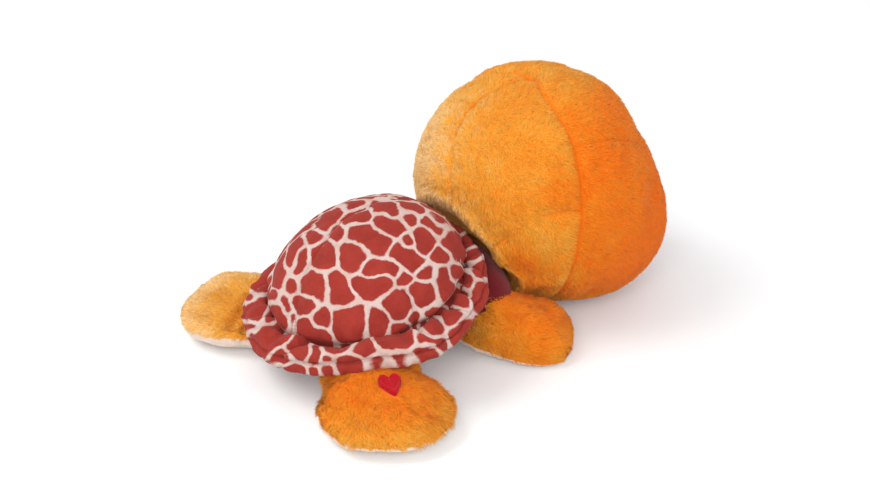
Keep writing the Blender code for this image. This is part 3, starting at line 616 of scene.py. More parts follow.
HEAD_CENTRE = np.array([0.0, -113.0, 67.0])
HEAD_RADII = np.array([137.0, 136.0, 135.0]) / 2
HEAD_BALL = 67.0             # radius of a plain ball that distances over the head are measured on
SKIN_DEPTH = 1.6             # the backing lies this far inside the tips of the pile
HEAD_INSET = 1.3             # room for the cloth to swell
HEAD_CLEARANCE = 0.2         # between the head and what it is pressed against
MUZZLE = (12.0, 122.0, 32.0, 62.0)    # size, middle in degrees down, spread, reach in degrees from the nose
TEMPLE = (5.0, 62.0, 32.0, 68.0)
JOWL = (5.5, 140.0, 24.0, 60.0, 34.0)  # size, then middle and spread down and from the nose
FACE_HOLLOW = (1.4, 84.0, 24.0, 38.0, 26.0)


def on_ball(down_deg, round_deg):
    """Directions from the head's centre: angle down from the crown, and round from the tail to +X."""
    down, around = np.radians(down_deg), np.radians(round_deg)
    return np.stack([np.sin(down) * np.sin(around), np.sin(down) * np.cos(around),
                     np.cos(down) + 0.0 * around], -1)


NECK_HOLLOW = np.array([(0.0, -54.0, 27.0), (52.0, 25.0, 25.0)])      # centre and radii
CHEST_SLACK = np.array([5.0, 2.0, 2.0])      # room between the chest and the hollow that it fills
SHELL_BALLS = (((0.0, 0.0, -7.0), (67.5, 67.5, 44.0)), ((0.0, -8.5, 0.0), (53.0, 53.0, 45.0)))


# Each seam's depth, how many points it takes, whether the other side has its mirror image too, and
# its knots: angles down from the crown, and round from the tail to +X
SEAM_KNOTS = (
    (1.0, 160, False, ((5, 2), (13, 8), (25, 12), (35, 15), (45, 11), (54, 8), (62, 2), (72, -2),
                       (83, -5), (112, -4), (140, -2), (172, 0))),
    (1.0, 160, True, ((5, 10), (8, 30), (12.5, 45), (27, 62), (39.5, 68), (49, 70.7), (67, 71.2),
                      (89, 69.6), (113, 68), (131.5, 66.7), (150, 60), (174, 50))),
    (0.55, 90, True, ((49, 71.5), (48.7, 81), (50, 95.5), (54, 110), (61, 127), (62, 150), (62, 180))),
    (0.5, 18, True, ((78.5, 69.7), (77.7, 62.4), (79.6, 53.5))),
    (0.6, 160, False, ((6, 10), (4, 130), (13.5, 162), (30, 175), (60, 180), (120, 180), (176, 180))),
    (0.7, 18, False, ((98.5, -29), (95, -32.6), (91.8, -36))),
)


def head_seams():
    """Each seam as a line on the ball, with its depth: back, sides, brows, folds, nose, and a dart."""
    seams = []
    for depth, count, mirrored, knots in SEAM_KNOTS:
        for sign in (-1, 1) if mirrored else (1,):
            line = open_curve(knots, count)
            seams.append((on_ball(line[:, 0], sign * line[:, 1]) * HEAD_BALL, depth))
    return seams


HEAD_SEAMS = head_seams()


def head_pressed(aim):
    """How far the head can swell before it meets the shell and the neck."""
    reach = np.full(aim.shape[:-1], np.inf)
    start = turtle_to_shell(HEAD_CENTRE)
    ahead = turtle_to_shell(HEAD_CENTRE + aim) - start
    for centre, radii in SHELL_BALLS:
        reach = np.minimum(reach, ray_hits(start, ahead, np.array(centre), np.array(radii))[0])
    return np.minimum(reach, ray_hits(HEAD_CENTRE, aim, NECK_HOLLOW[0], NECK_HOLLOW[1])[0])


def bulge(down, from_nose, size, middle, spread, reach):
    return size * np.exp(-((down - middle) / spread) ** 2 - (from_nose / reach) ** 4)


def swelling(down, from_nose, size, middle, spread, side, side_spread):
    return size * gauss(down - middle, spread) * gauss(from_nose - side, side_spread)


def head_form(aim):
    """Distance out of the head's centre along each direction, before seams and pile."""
    reach = 1.0 / np.linalg.norm(aim / HEAD_RADII, axis=-1)
    down = np.degrees(np.arccos(np.clip(aim[..., 2], -1, 1)))
    around = np.degrees(np.arctan2(aim[..., 0], aim[..., 1]))
    from_nose = np.abs(np.abs(around) - 180.0)
    reach = reach + bulge(down, from_nose, *MUZZLE) - bulge(down, from_nose, *TEMPLE)
    return reach + swelling(down, from_nose, *JOWL) - swelling(down, from_nose, *FACE_HOLLOW)


def shell_gap(aim):
    """How far the head's form along each direction is from the shell and the neck, under zero inside."""
    return head_pressed(aim) - head_form(aim)


def head_surface(aim):
    reach = head_form(aim) - SKIN_DEPTH
    ball = aim * HEAD_BALL
    for line, strength in HEAD_SEAMS:
        far = nearest(ball, line)
        reach = reach - strength * (1.1 * gauss(far, 5.5) + 1.4 * gauss(far, 1.0))
    reach = reach + 0.9 * noise(ball, 24.0, 3) + 0.35 * noise(ball, 8.0, 5) + 0.12 * noise(ball, 2.6, 7)
    reach = soft_min(reach, head_pressed(aim) - HEAD_CLEARANCE, 2.6)
    point = HEAD_CENTRE + aim * reach[..., None]
    low, bend = 0.5, 3.0         # the head flattens softly towards the ground
    above = point[..., 2] - low - bend
    point[..., 2] = np.where(above < 0.0, low + bend * np.exp(np.minimum(above, 0.0) / bend), point[..., 2])
    return point


SUN_SIDE = unit(np.array([0.605, 0.797, 0.25]))      # the side painted palest: painted light where the light falls
# Spots painted darker, and paler as painted highlights where the depth is under zero: angles down and round,
# size, depth
DARK_SPOTS_AND_HIGHLIGHTS = (
    (70.3, -62.6, 11.0, 0.30), (75.5, -35.4, 7.0, 0.10), (104.4, -42.9, 9.0, 0.32),
    (62.0, -93.0, 13.0, 0.10), (39.0, -112.0, 12.0, 0.12), (37.8, 14.4, 4.0, 0.25),
    (116.0, -70.0, 11.0, -0.26), (97.0, -52.0, 8.0, -0.12),
)


def head_nap_and_light(points):
    outward = unit(points - HEAD_CENTRE)
    round_deg = np.degrees(np.arctan2(outward[:, 0], outward[:, 1]))
    side = smooth_step(np.abs(round_deg), 64.0, 74.0) * smooth_step(outward[:, 2], 0.98, 0.80)
    # Painted light: paler on the side that faces the light; the side panels are deeper.
    nap_and_light = 0.52 + 0.42 * (outward @ SUN_SIDE) ** 3 - 0.30 * side
    low = -outward[:, 2]
    # Deeper towards the lower half, and paler on the underside: painted light where the head lies in shade.
    nap_and_light = nap_and_light - 0.16 * smooth_step(low, -0.1, 0.6) + 0.30 * smooth_step(low, 0.55, 0.95)
    for down, around, size, depth in DARK_SPOTS_AND_HIGHLIGHTS:
        spot = on_ball(np.array(down), np.array(around))
        nap_and_light = nap_and_light - depth * gauss(np.linalg.norm(outward - spot, axis=1) * HEAD_BALL, size)
    # Paler where the head nears the shell: painted light in the crevice between them.
    return nap_and_light + 0.22 * smooth_step(shell_gap(outward), 16.0, 3.0)


def head_held(aim, points):
    """Where the head's cloth is sewn or pressed, and the face, which stays as the solids have it."""
    held = sum(gauss(nearest(aim * HEAD_BALL, line), 2.5) for line, _ in HEAD_SEAMS)
    held = np.maximum(held, smooth_step(shell_gap(aim), 6.0, 2.0))
    held = np.maximum(held, 1.0 - smooth_step(points[:, 2], 1.5, 6.0))
    face_side = unit(aim * [1.0, 1.0, 0.7])
    face_side = smooth_step(face_side @ unit(np.array([0.0, -1.0, -0.35])), 0.66, 0.80)
    return np.minimum(np.maximum(held, face_side), 1.0), face_side


def make_head():
    aim, faces = cube_ball(118)
    points = head_surface(aim)
    faces = out_facing(points, faces, HEAD_CENTRE)
    held, face_side = head_held(aim, points)
    inset = HEAD_INSET * (1.0 - face_side) * smooth_step(shell_gap(aim), 0.0, 18.0)
    points = points - aim * inset[:, None]
    points = stuffed("head_cloth", points, faces, held, size=6.0, limit=2.0, growth=0.02)
    head = make_mesh("head_plush", points, faces, [MATERIALS["skin"]])
    seam = sum(strength * gauss(nearest(aim * HEAD_BALL, line), 2.0) for line, strength in HEAD_SEAMS)
    add_values(head, "nap_and_light", head_nap_and_light(points) - 0.25 * np.minimum(seam, 1.0))
    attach(head, "head")
    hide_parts("head_back_right", "head_back_left", "brow_right", "brow_left", "cheek_right",
                "cheek_left", "head_filling")
    make_head_pile(points, faces)


def make_head_pile(points, faces):
    rng = np.random.default_rng(11)
    chosen, roots = random_places(points, faces, HEAD_PILE_DENSITY, rng)
    normal = unit(normals_of(points, faces)[faces[chosen]].mean(1))
    outward = unit(roots - HEAD_CENTRE)
    seam_far = np.full(len(roots), 99.0)
    for line, strength in HEAD_SEAMS:
        seam_far = np.minimum(seam_far, nearest(outward * HEAD_BALL, line) / max(strength, 0.5))
    keep = (seam_far > 0.12) & (shell_gap(outward) > -9.0) & (roots[:, 2] > 1.5)
    for sign in (-1, 1):
        keep &= nearest(roots, eye_place(sign)[0][None]) > EYE_RADIUS + 0.2
    roots, normal, seam_far = (item[keep] for item in (roots, normal, seam_far))
    comb = np.array([0.0, -1.0, -0.6]) + 0.0 * roots
    comb[:, 2] -= 0.9 * smooth_step(60.0 - roots[:, 2], 0.0, 40.0)
    comb = comb + 0.45 * noise_vector(roots, 15.0, 21) + 0.6 * noise_vector(roots, 2.6, 31)
    comb = comb + 0.22 * rng.normal(size=comb.shape)
    length = HEAD_PILE_LENGTH * (0.6 + 0.4 * (1.0 - gauss(seam_far, 1.6)))
    length = length * rng.uniform(0.8, 1.15, len(roots))
    lift = np.radians(24.0 + 11.0 * noise(roots, 2.4, 41) + rng.normal(0.0, 5.0, len(roots)))
    nap_and_light = head_nap_and_light(roots) - 0.30 * gauss(seam_far, 1.2) + 0.03 * gauss(seam_far - 3.5, 1.6)
    fur("head_pile", roots, normal, comb, length, HEAD_PILE_WIDTH, lift, nap_and_light, rng, "head")


# Eyes, nose and mouth

EYE_RADIUS = 7.5
EYE_RISE = 3.5
EYE_SIDE = 13.0              # degrees from the nose
EYE_DOWN = 100.0
STITCH_DEPTH = 1.0           # of the stitches' ground inside the tips of the pile
STITCH_LIFT = 0.9            # of their middles over that ground
MOUTH_STITCHES = 30
MOUTH_REACH = 24.0           # degrees either way from the nose
MOUTH_DOWN, MOUTH_CURL = 128.0, 7.0
NOSTRIL_DOWN, NOSTRIL_SIDE, NOSTRIL_REACH = 111.0, 6.5, 1.9


def normal_out(a, b, c):
    """Unit normal of three points of the head, facing out of it."""
    normal = unit(np.cross(b - a, c - a))
    return -normal if normal @ (a - HEAD_CENTRE) < 0 else normal


def eye_place(sign):
    """Where an eye sits and which way it faces, as in the solids."""
    step = 1.5
    around = 180.0 - sign * EYE_SIDE + np.array([0.0, 0.0, step])
    aims = on_ball(EYE_DOWN + np.array([0.0, step, 0.0]), around)
    a, b, c = HEAD_CENTRE + aims * head_form(aims)[:, None]
    return a, normal_out(a, b, c)


def lathe(profile, place, axis, steps=48):
    """A closed form turned about an axis from pairs of height and radius."""
    side = unit(np.cross(axis, (0.0, 0.0, 1.0)))
    other = np.cross(axis, side)
    angles = np.arange(steps)[:, None] * 2 * math.pi / steps
    spokes = np.cos(angles) * side + np.sin(angles) * other
    grid = np.stack([place + axis * height + radius * spokes for height, radius in profile])
    points, faces = ball_mesh(grid)
    return points, out_facing(points, faces, place)


def make_eyes():
    profile = [(-9.0, 0.0), (-9.0, 1.7), (-8.7, 2.0), (-1.0, 2.0), (-0.8, 6.9), (-0.3, 7.4)]
    for angle in np.linspace(0.0, math.pi / 2, 11)[:-1]:
        profile.append((0.1 + EYE_RISE * math.sin(angle), EYE_RADIUS * math.cos(angle)))
    profile.append((0.1 + EYE_RISE, 0.0))
    for name, sign in (("right", -1), ("left", 1)):
        points, faces = lathe(profile, *eye_place(sign))
        eye = make_mesh("eye_dome_" + name, points, faces, [MATERIALS["eye"]])
        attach(eye, "head")
        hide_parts("eye_" + name)
        washer = frame["nodes"]["eye_washer_" + name]
        washer.data.materials.clear()
        washer.data.materials.append(MATERIALS["washer"])


def stitches(centres, alongs, normals, length, width, height):
    """Closed, rounded stitches, each a small spindle lying along its direction."""
    share = np.linspace(-1.0, 1.0, 7)
    girth = np.sqrt(np.maximum(1.0 - np.abs(share) ** 3, 0.0))
    turn = np.arange(8) * 2 * math.pi / 8
    points, faces = [], []
    for number, (centre, along, normal) in enumerate(zip(centres, alongs, normals)):
        aside = np.cross(normal, along)
        arch = normal * height * 0.5 * (1.0 - share ** 2)[:, None]
        spine = centre + along * share[:, None] * length[number] / 2 + arch
        ring = aside * np.cos(turn)[:, None] * width / 2 + normal * np.sin(turn)[:, None] * height / 2
        grid = spine[:, None] + ring[None] * girth[:, None, None]
        one, quads = ball_mesh(grid)
        faces.append(quads + sum(len(part) for part in points))
        points.append(one)
    return np.concatenate(points), np.concatenate(faces)


def face_point(down, from_nose):
    """A point of the face and its normal; from_nose grows towards +X."""
    around = 180.0 - np.array([from_nose, from_nose, from_nose + 1.0])
    aims = on_ball(down + np.array([0.0, 1.0, 0.0]), around)
    a, b, c = HEAD_CENTRE + aims * (head_form(aims) - STITCH_DEPTH)[:, None]
    return a, normal_out(a, b, c)


def make_stitched_face():
    spots = [face_point(MOUTH_DOWN - MOUTH_CURL * (side / MOUTH_REACH) ** 2, side)
             for side in np.linspace(-MOUTH_REACH, MOUTH_REACH, MOUTH_STITCHES)]
    centres = np.array([spot[0] for spot in spots])
    normals = np.array([spot[1] for spot in spots])
    alongs = unit(np.gradient(centres, axis=0))
    slant = unit(alongs + 0.22 * np.cross(normals, alongs))
    lengths = np.full(MOUTH_STITCHES, 3.0)
    points, faces = stitches(centres + normals * STITCH_LIFT, slant, normals, lengths, 1.7, 1.3)
    mouth = make_mesh("mouth_stitches", points, faces, [MATERIALS["brown"]])
    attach(mouth, "head")
    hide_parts("mouth_stitching")
    for name, sign in (("right", -1), ("left", 1)):
        centres, normals, lengths = [], [], []
        for step in np.linspace(-1.0, 1.0, 9):
            place, normal = face_point(NOSTRIL_DOWN, sign * (NOSTRIL_SIDE + NOSTRIL_REACH * step))
            centres.append(place + normal * STITCH_LIFT)
            normals.append(normal)
            lengths.append(2.0 + 2.4 * math.sqrt(1.0 - 0.92 * step ** 2))
        normals = np.array(normals)
        alongs = unit(np.cross(normals, (1.0, 0.0, 0.0)))
        points, faces = stitches(np.array(centres), alongs, normals, lengths, 0.8, 1.1)
        nostril = make_mesh("nostril_stitches_" + name, points, faces, [MATERIALS["brown"]])
        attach(nostril, "head")
        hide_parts("nostril_" + name)


# Printed shell

# Patches of the print that the photograph shows: the pixels of both ends of each one's middle line,
# and half its width there
DOME_PATCHES = (
    (343, 208, 363, 203, 3), (345, 219, 365, 215, 6), (323, 224, 339, 212, 7), (338, 233, 338, 233, 8),
    (313, 237, 313, 237, 8), (298, 242, 290, 262, 6), (305, 254, 298, 269, 6), (324, 256, 324, 256, 14),
    (352, 256, 352, 256, 14), (355, 232, 380, 243, 10), (297, 235, 308, 227, 2), (280, 262, 279, 283, 5),
    (271, 262, 270, 275, 3), (291, 285, 291, 285, 7), (313, 285, 313, 285, 14), (334, 282, 344, 299, 9),
    (362, 286, 383, 285, 9), (274, 296, 274, 296, 4), (282, 299, 287, 310, 4), (303, 305, 303, 305, 10),
    (279, 309, 285, 325, 5), (292, 315, 293, 330, 3), (322, 318, 322, 318, 7), (349, 319, 349, 319, 14),
    (302, 327, 315, 338, 9), (376, 204, 392, 210, 7), (404, 203, 421, 210, 6), (368, 198, 385, 196, 3),
    (383, 222, 399, 229, 8), (411, 219, 411, 219, 7), (426, 220, 437, 232, 6), (408, 241, 408, 241, 6),
    (425, 239, 425, 239, 12), (430, 213, 440, 222, 3), (447, 240, 458, 255, 6), (441, 256, 441, 256, 8),
    (399, 252, 415, 261, 8), (369, 269, 391, 269, 7), (426, 273, 426, 273, 7), (456, 271, 456, 271, 6),
    (443, 274, 445, 291, 6), (405, 279, 405, 279, 5), (423, 294, 423, 294, 12), (397, 304, 397, 304, 14),
    (380, 320, 380, 320, 10), (393, 327, 408, 328, 3), (413, 316, 415, 327, 4), (423, 325, 423, 325, 4),
    (433, 313, 433, 313, 6),
)
RIM_PATCHES = (
    (256, 286, 265, 277, 5), (249, 296, 249, 296, 4), (256, 310, 256, 310, 9), (270, 319, 270, 319, 5),
    (262, 339, 280, 331, 10), (253, 328, 253, 328, 3), (283, 358, 283, 358, 6), (300, 348, 300, 348, 11),
    (315, 348, 314, 360, 4), (282, 369, 302, 371, 3), (313, 371, 313, 371, 4), (328, 359, 328, 359, 3),
    (328, 369, 328, 369, 4), (333, 346, 353, 336, 7), (366, 348, 366, 348, 11), (340, 365, 360, 360, 4),
    (372, 359, 388, 357, 3), (382, 338, 405, 344, 9), (388, 356, 408, 354, 4), (413, 352, 431, 350, 4),
    (422, 340, 440, 343, 4), (434, 331, 434, 331, 6), (462, 299, 462, 299, 8), (454, 316, 454, 316, 7),
    (479, 287, 475, 300, 5), (467, 283, 467, 283, 6), (481, 268, 481, 268, 7), (473, 256, 473, 256, 6),
    (457, 228, 457, 228, 7), (467, 242, 467, 242, 6), (463, 325, 455, 338, 4),
)
# Pixels along the seam over the back and along the dart at the front
DOME_SEAMS = (
    ((400, 197), (385, 196), (356, 208), (329, 229), (324, 237), (309, 259), (300, 277), (293, 299),
     (293, 333)),
    ((405, 291), (410, 297), (415, 311), (417, 330)),
)
PATCH_RADIUS = 4.5
PATCH_ROOM = 1.6             # between two patches that the photograph doesn't show
PATCH_BLEND = 0.7            # rounds the corners where three patches meet
PATCH_REACH = 30.0           # a middle line longer than this has its ends on two folds of the cloth
PATCH_STEEPNESS = 12.0       # how sharply the seen and the unseen print take over from each other
LINE_WIDTH = 1.75
PIXEL_MM = 0.5228            # what a pixel of the photograph covers over the shell


def seen_place(tree, x, y):
    """The point of a surface that a pixel shows, and the number of its face; None where it shows none."""
    place, right, up, back = camera_axes()
    way = right * (x - IMAGE_WIDTH / 2) + up * (IMAGE_HEIGHT / 2 - y) - back * FOCAL_PIXELS
    hit = tree.ray_cast(Vector(place), Vector(unit(way)))
    return None if hit[0] is None else (np.array(hit[0]), hit[2])


def to_pixels(points):
    """Where the camera sees points of the turtle's frame, in the photograph's pixels."""
    place, right, up, back = camera_axes()
    ahead = (points - place) @ -back
    return np.stack([IMAGE_WIDTH / 2 + (points - place) @ right / ahead * FOCAL_PIXELS,
                     IMAGE_HEIGHT / 2 - (points - place) @ up / ahead * FOCAL_PIXELS], -1)


def ray_tree(points, faces):
    return BVHTree.FromPolygons(points.tolist(), faces.tolist())


def is_seen(tree, point):
    """Whether the camera sees a point of the surface past the rest of it."""
    place = camera_axes()[0]
    hit = tree.ray_cast(Vector(place), Vector(point - place).normalized())[0]
    return hit is not None and np.linalg.norm(np.array(hit) - point) < 2.0


def capsule_far(points, patches):
    """How far each point lies outside each patch: a short line from a start to an end, with a size."""
    starts, ends, sizes = patches
    along = ends - starts
    length = np.maximum((along ** 2).sum(1), 1e-6)
    share = np.clip(((points[:, None] - starts) * along).sum(-1) / length, 0.0, 1.0)
    return np.linalg.norm(points[:, None] - starts - share[..., None] * along, axis=-1) - sizes


def nearest_patches(points, patches, count):
    """How far each point lies outside the patches nearest to it, count of them, nearest first."""
    found = []
    for start in range(0, len(points), POINT_BATCH):
        apart = capsule_far(points[start:start + POINT_BATCH], patches)
        found.append(np.sort(np.partition(apart, count - 1, axis=1)[:, :count], axis=1))
    return np.concatenate(found)


def patch_field(points, laid, patches):
    """How deep each point lies inside its patch, in millimetres; under zero in the pale lines.

    laid holds each point's place where the patches are measured."""
    bent = 0.8 * noise_vector(points, 6.0, 51) + 0.45 * noise_vector(points, 2.2, 61)
    order = nearest_patches(laid + bent[:, :laid.shape[1]], patches, 5)
    others = -PATCH_BLEND * np.log(np.exp(-(order[:, 1:] - order[:, :1]) / PATCH_BLEND).sum(1))
    return others / 2 - LINE_WIDTH * (1.0 + 0.5 * noise(points, 9.0, 71)) / 2


def print_field(points, faces, cloth, pixel_patches, grazing, seed):
    """The print: patches where the photograph shows them, and others of their kind over the rest.

    cloth holds each point's place on the cloth laid out, where the patches that the photograph
    doesn't show are measured; the others are measured in the photograph, where the surface faces
    it by more than grazing."""
    tree = ray_tree(points, faces)
    starts, ends, sizes = [], [], []
    for x, y, end_x, end_y, half in pixel_patches:
        start, end = seen_place(tree, x, y), seen_place(tree, end_x, end_y)
        if start and end and np.linalg.norm(end[0] - start[0]) < PATCH_REACH:
            starts.append(cloth[faces[start[1]]].mean(0))
            ends.append(cloth[faces[end[1]]].mean(0))
            sizes.append(half * PIXEL_MM)
    starts, ends, sizes = np.array(starts), np.array(ends), np.array(sizes)
    rng = np.random.default_rng(seed)
    for index in rng.permutation(len(points))[::3]:
        place = cloth[index]
        size = PATCH_RADIUS + rng.uniform(-2.2, 1.4)
        room = capsule_far(place[None], (starts, ends, sizes))[0].min() - size
        if room > PATCH_ROOM and not is_seen(tree, points[index]):
            starts = np.vstack([starts, place + rng.uniform(-2.0, 2.0, 3)])
            ends = np.vstack([ends, place + rng.uniform(-2.0, 2.0, 3)])
            sizes = np.append(sizes, size)
    hidden = patch_field(points, cloth, (starts, ends, sizes))
    pixels = to_pixels(points) * PIXEL_MM
    seen = np.array(pixel_patches, float) * PIXEL_MM
    seen = (seen[:, :2], seen[:, 2:4], seen[:, 4])
    shown = patch_field(points, pixels, seen)
    near = nearest_patches(pixels, seen, 1)[:, 0]
    facing = (normals_of(points, faces) * unit(camera_axes()[0] - points)).sum(-1)
    share = smooth_step(facing, grazing, grazing + 0.16) * (1.0 - smooth_step(near, 4.0, 7.0))
    shown = shown - PATCH_STEEPNESS * np.maximum(0.5 - share, 0.0)
    return np.maximum(shown, hidden - PATCH_STEEPNESS * np.maximum(share - 0.5, 0.0))


# Dome

DOME_RADIUS = 53.5
DOME_HEIGHT = 40.6
DOME_FOOT = 52.0             # radius that the gathers at the dome's foot are measured on
DOME_LEAN = 8.5
DOME_SHIFT = np.array([1.2, 1.6])
DOME_FULLNESS = 0.95         # under 1 squares the dome's shoulders
DOME_INSET = 0.8             # room for the cloth to swell
DOME_TUCK = 3.6              # how far the foot is drawn in behind the rim
DOME_ROWS = 130
DOME_COLUMNS = 480


def dome_form(from_top, around):
    out, up = np.sin(from_top) ** DOME_FULLNESS, np.cos(from_top) ** DOME_FULLNESS
    x = DOME_RADIUS * out * np.sin(around) + DOME_SHIFT[0] * (1.0 - up)
    y = DOME_RADIUS * out * np.cos(around) + DOME_SHIFT[1] * (1.0 - up) - DOME_LEAN * up
    return np.stack([x, y, DOME_HEIGHT * up + 0.0 * x], -1)


def make_dome():
    around = np.arange(DOME_COLUMNS) * 2 * math.pi / DOME_COLUMNS
    from_top = np.linspace(0.0, math.pi / 2 - 1e-4, DOME_ROWS)[:, None]
    top = dome_form(from_top, around[None])
    foot = top[-1:]
    under = [foot * [1.0 - share, 1.0 - share, 0.0] + [0.0, 0.0, -6.0 * math.sin(share * math.pi / 2)]
             for share in (0.04, 0.12, 0.3, 0.6, 1.0)]
    points, faces = ball_mesh(np.concatenate([top] + under))
    faces = out_facing(points, faces, np.zeros(3))
    normal = normals_of(points, faces)
    level = smooth_step(points[:, 2], 0.0, 4.0)
    tree = ray_tree(shell_to_turtle(points), faces)
    swell = 1.0 * noise(points, 22.0, 81) + 0.3 * noise(points, 7.0, 83)
    sewn = np.zeros(len(points))
    for knots in DOME_SEAMS:
        line = [seen_place(tree, x, y) for x, y in knots]
        line = turtle_to_shell(open_curve([spot[0] for spot in line if spot], 160))
        far = nearest(points, line)
        sewn = np.maximum(sewn, gauss(far, 2.5))
        swell = swell - 1.2 * gauss(far, 5.5) - 1.3 * gauss(far, 0.9)
    near_foot = smooth_step(points[:, 2], 4.0, 9.0) * (1.0 - smooth_step(points[:, 2], 9.0, 18.0))
    swell = swell - DOME_TUCK * (1.0 - smooth_step(points[:, 2], 0.0, 9.0))
    angle = np.arctan2(points[:, 0], points[:, 1])
    gathers = noise(np.stack([angle * DOME_FOOT, 0 * angle, 0 * angle], -1), 7.0, 85)
    swell = swell + near_foot * (1.0 * gathers + 1.0)
    held = np.maximum(sewn, 1.0 - smooth_step(points[:, 2], 1.0, 4.0))
    points = shell_to_turtle(points + normal * ((swell - DOME_INSET) * level)[:, None])
    points = stuffed("dome_cloth", points, faces, held, size=4.5, limit=1.8, growth=0.03)
    dome = make_mesh("shell_dome_plush", points, faces, [MATERIALS["print"]])
    patch = print_field(points, faces, points, DOME_PATCHES, grazing=0.22, seed=5)
    add_values(dome, "patch", patch)
    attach(dome, "body")
    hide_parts("shell_dome_right", "shell_dome_left", "body_filling")


# Rim

RIM_COLUMNS = 560
RIM_ROWS = 72
RIM_RADIUS = 59.5
RIM_HALF_WIDTH = 8.2
RIM_HALF_THICK = 6.0
RIM_SEAM = 160.0             # angle of the outer seam round the section, from the inner side over the top
RIM_STRIP = (57.0, 4.0)      # millimetres a radian round the rim and round its section, for its creases
RIM_SECTION = 6.8            # millimetres of cloth a radian round the section, for its print


def round_values(knots, angles):
    """Smooth values round the rim from (angle in degrees, value) pairs."""
    places = np.array([knot[0] for knot in knots], float)
    values = np.array([knot[1] for knot in knots], float)
    fine = np.linspace(-180.0, 180.0, 361)
    rough = np.interp(fine, places, values, period=360.0)[:-1]
    kernel = np.exp(-(np.arange(-15, 16) / 6.0) ** 2)
    weights = kernel / kernel.sum()
    smooth = sum(np.roll(rough, shift) * weight for shift, weight in zip(range(-15, 16), weights))
    return np.interp(np.degrees(angles), fine, np.append(smooth, smooth[0]), period=360.0)


# Changes of the rim's section in millimetres, each with its angle round from the tail to +X
RIM_WIDENING = ((-180, -5.0), (-145, -6.0), (-125, -4.0), (-105, -0.5), (-88, 3.0), (-65, 0.5),
                (-30, 1.0), (-12, 3.0), (15, 1.0), (40, 1.0), (75, -2.0), (110, -3.0), (140, -5.5))
RIM_DROOP = ((-180, 0.5), (-120, 0.0), (-88, -1.5), (-70, 0.5), (-55, 4.0), (-30, 3.2), (-12, 2.0),
             (0, 1.2), (20, -1.0), (45, -2.0), (70, -6.0), (110, -6.0), (140, -2.0))
RIM_SWELLING = ((-180, -1.5), (-140, -1.2), (-100, 0.5), (-75, 1.6), (-55, 2.4), (-30, 2.4),
                (0, 3.2), (35, 1.8), (60, -0.5), (90, -1.0))
# Angle round from the tail to +X, depth, width in degrees, and slant outward
RIM_PLEATS = (
    (-17.0, 4.0, 2.6, 9.0), (-2.0, 1.0, 3.0, -4.0), (-60.0, 0.9, 2.5, 5.0), (-84.0, 2.0, 2.2, -8.0),
    (-95.0, 2.6, 2.4, 10.0), (-107.0, 2.2, 2.2, -6.0), (-118.0, 3.0, 2.6, 8.0), (-129.0, 2.2, 2.0, -5.0),
    (-140.0, 3.0, 2.4, 9.0), (-152.0, 2.2, 2.2, -7.0), (-164.0, 2.6, 2.4, 6.0), (20.0, 1.6, 2.4, 5.0),
    (48.0, 2.2, 2.6, -6.0), (75.0, 1.6, 2.4, 5.0), (100.0, 2.4, 2.6, 5.0), (124.0, 2.0, 2.4, -4.0),
    (148.0, 2.4, 2.4, 6.0), (170.0, 2.0, 2.4, -5.0),
)


def rim_roll(around, section):
    """Points, quads and outward normals of the roll before it is gathered."""
    wide = round_values(RIM_WIDENING, around)
    swell_up = round_values(RIM_SWELLING, around)
    radius = RIM_RADIUS + wide / 2
    half = RIM_HALF_WIDTH + wide / 2
    out = -np.sign(np.cos(section)) * np.abs(np.cos(section)) ** 0.9
    up = np.sign(np.sin(section)) * np.abs(np.sin(section)) ** 0.85
    reach = radius + half * out
    height = (RIM_HALF_THICK + swell_up * (up > 0)) * up
    outer = smooth_step(reach, RIM_RADIUS - 8.0, RIM_RADIUS + 6.0)
    height = height + round_values(RIM_DROOP, around) * outer
    points = np.stack([reach * np.sin(around), reach * np.cos(around), height], -1).reshape(-1, 3)
    faces = grid_faces(RIM_ROWS, RIM_COLUMNS, closed=True)
    centre_line = np.stack([radius * np.sin(around), radius * np.cos(around), 0.0 * around], -1)
    normal = normals_of(points, faces)
    if (normal * (points - np.tile(centre_line, (RIM_ROWS, 1)))).sum() < 0:
        return points, faces[:, ::-1], -normal
    return points, faces, normal


def rim_swell(turn, degrees, seam_far):
    """How far the roll's cloth stands out: furrowed at its seam, gathered beside it and pleated."""
    swell = -1.9 * gauss(seam_far, 0.8) - 0.9 * gauss(seam_far, 3.0)
    strip = np.stack([np.radians(degrees) * RIM_STRIP[0], turn * RIM_STRIP[1], 0.0 * turn], -1)
    long_strip = strip * [1.0, 0.35, 1.0]
    swell = swell + gauss(seam_far, 4.5) * 0.8 * noise(long_strip, 3.4, 91)
    swell = swell + smooth_step(np.cos(turn), 0.2, 1.0) * 1.1 * noise(long_strip, 6.0, 93)
    swell = swell + 0.7 * noise(strip, 12.0, 95) + 0.3 * noise(strip, 4.0, 97)
    outness = (1.0 - np.cos(turn)) / 2
    top_share = smooth_step(np.sin(turn), -0.4, 0.6)
    for place, depth, width, slant in RIM_PLEATS:
        far = (degrees - place - slant * (outness - 0.5) + 180.0) % 360.0 - 180.0
        fold = gauss(far, width) - 0.55 * gauss(far - 2.4 * width, width * 1.3)
        swell = swell - depth * fold * (0.3 + 0.7 * top_share) * (1.0 - 0.5 * outness)
    return swell


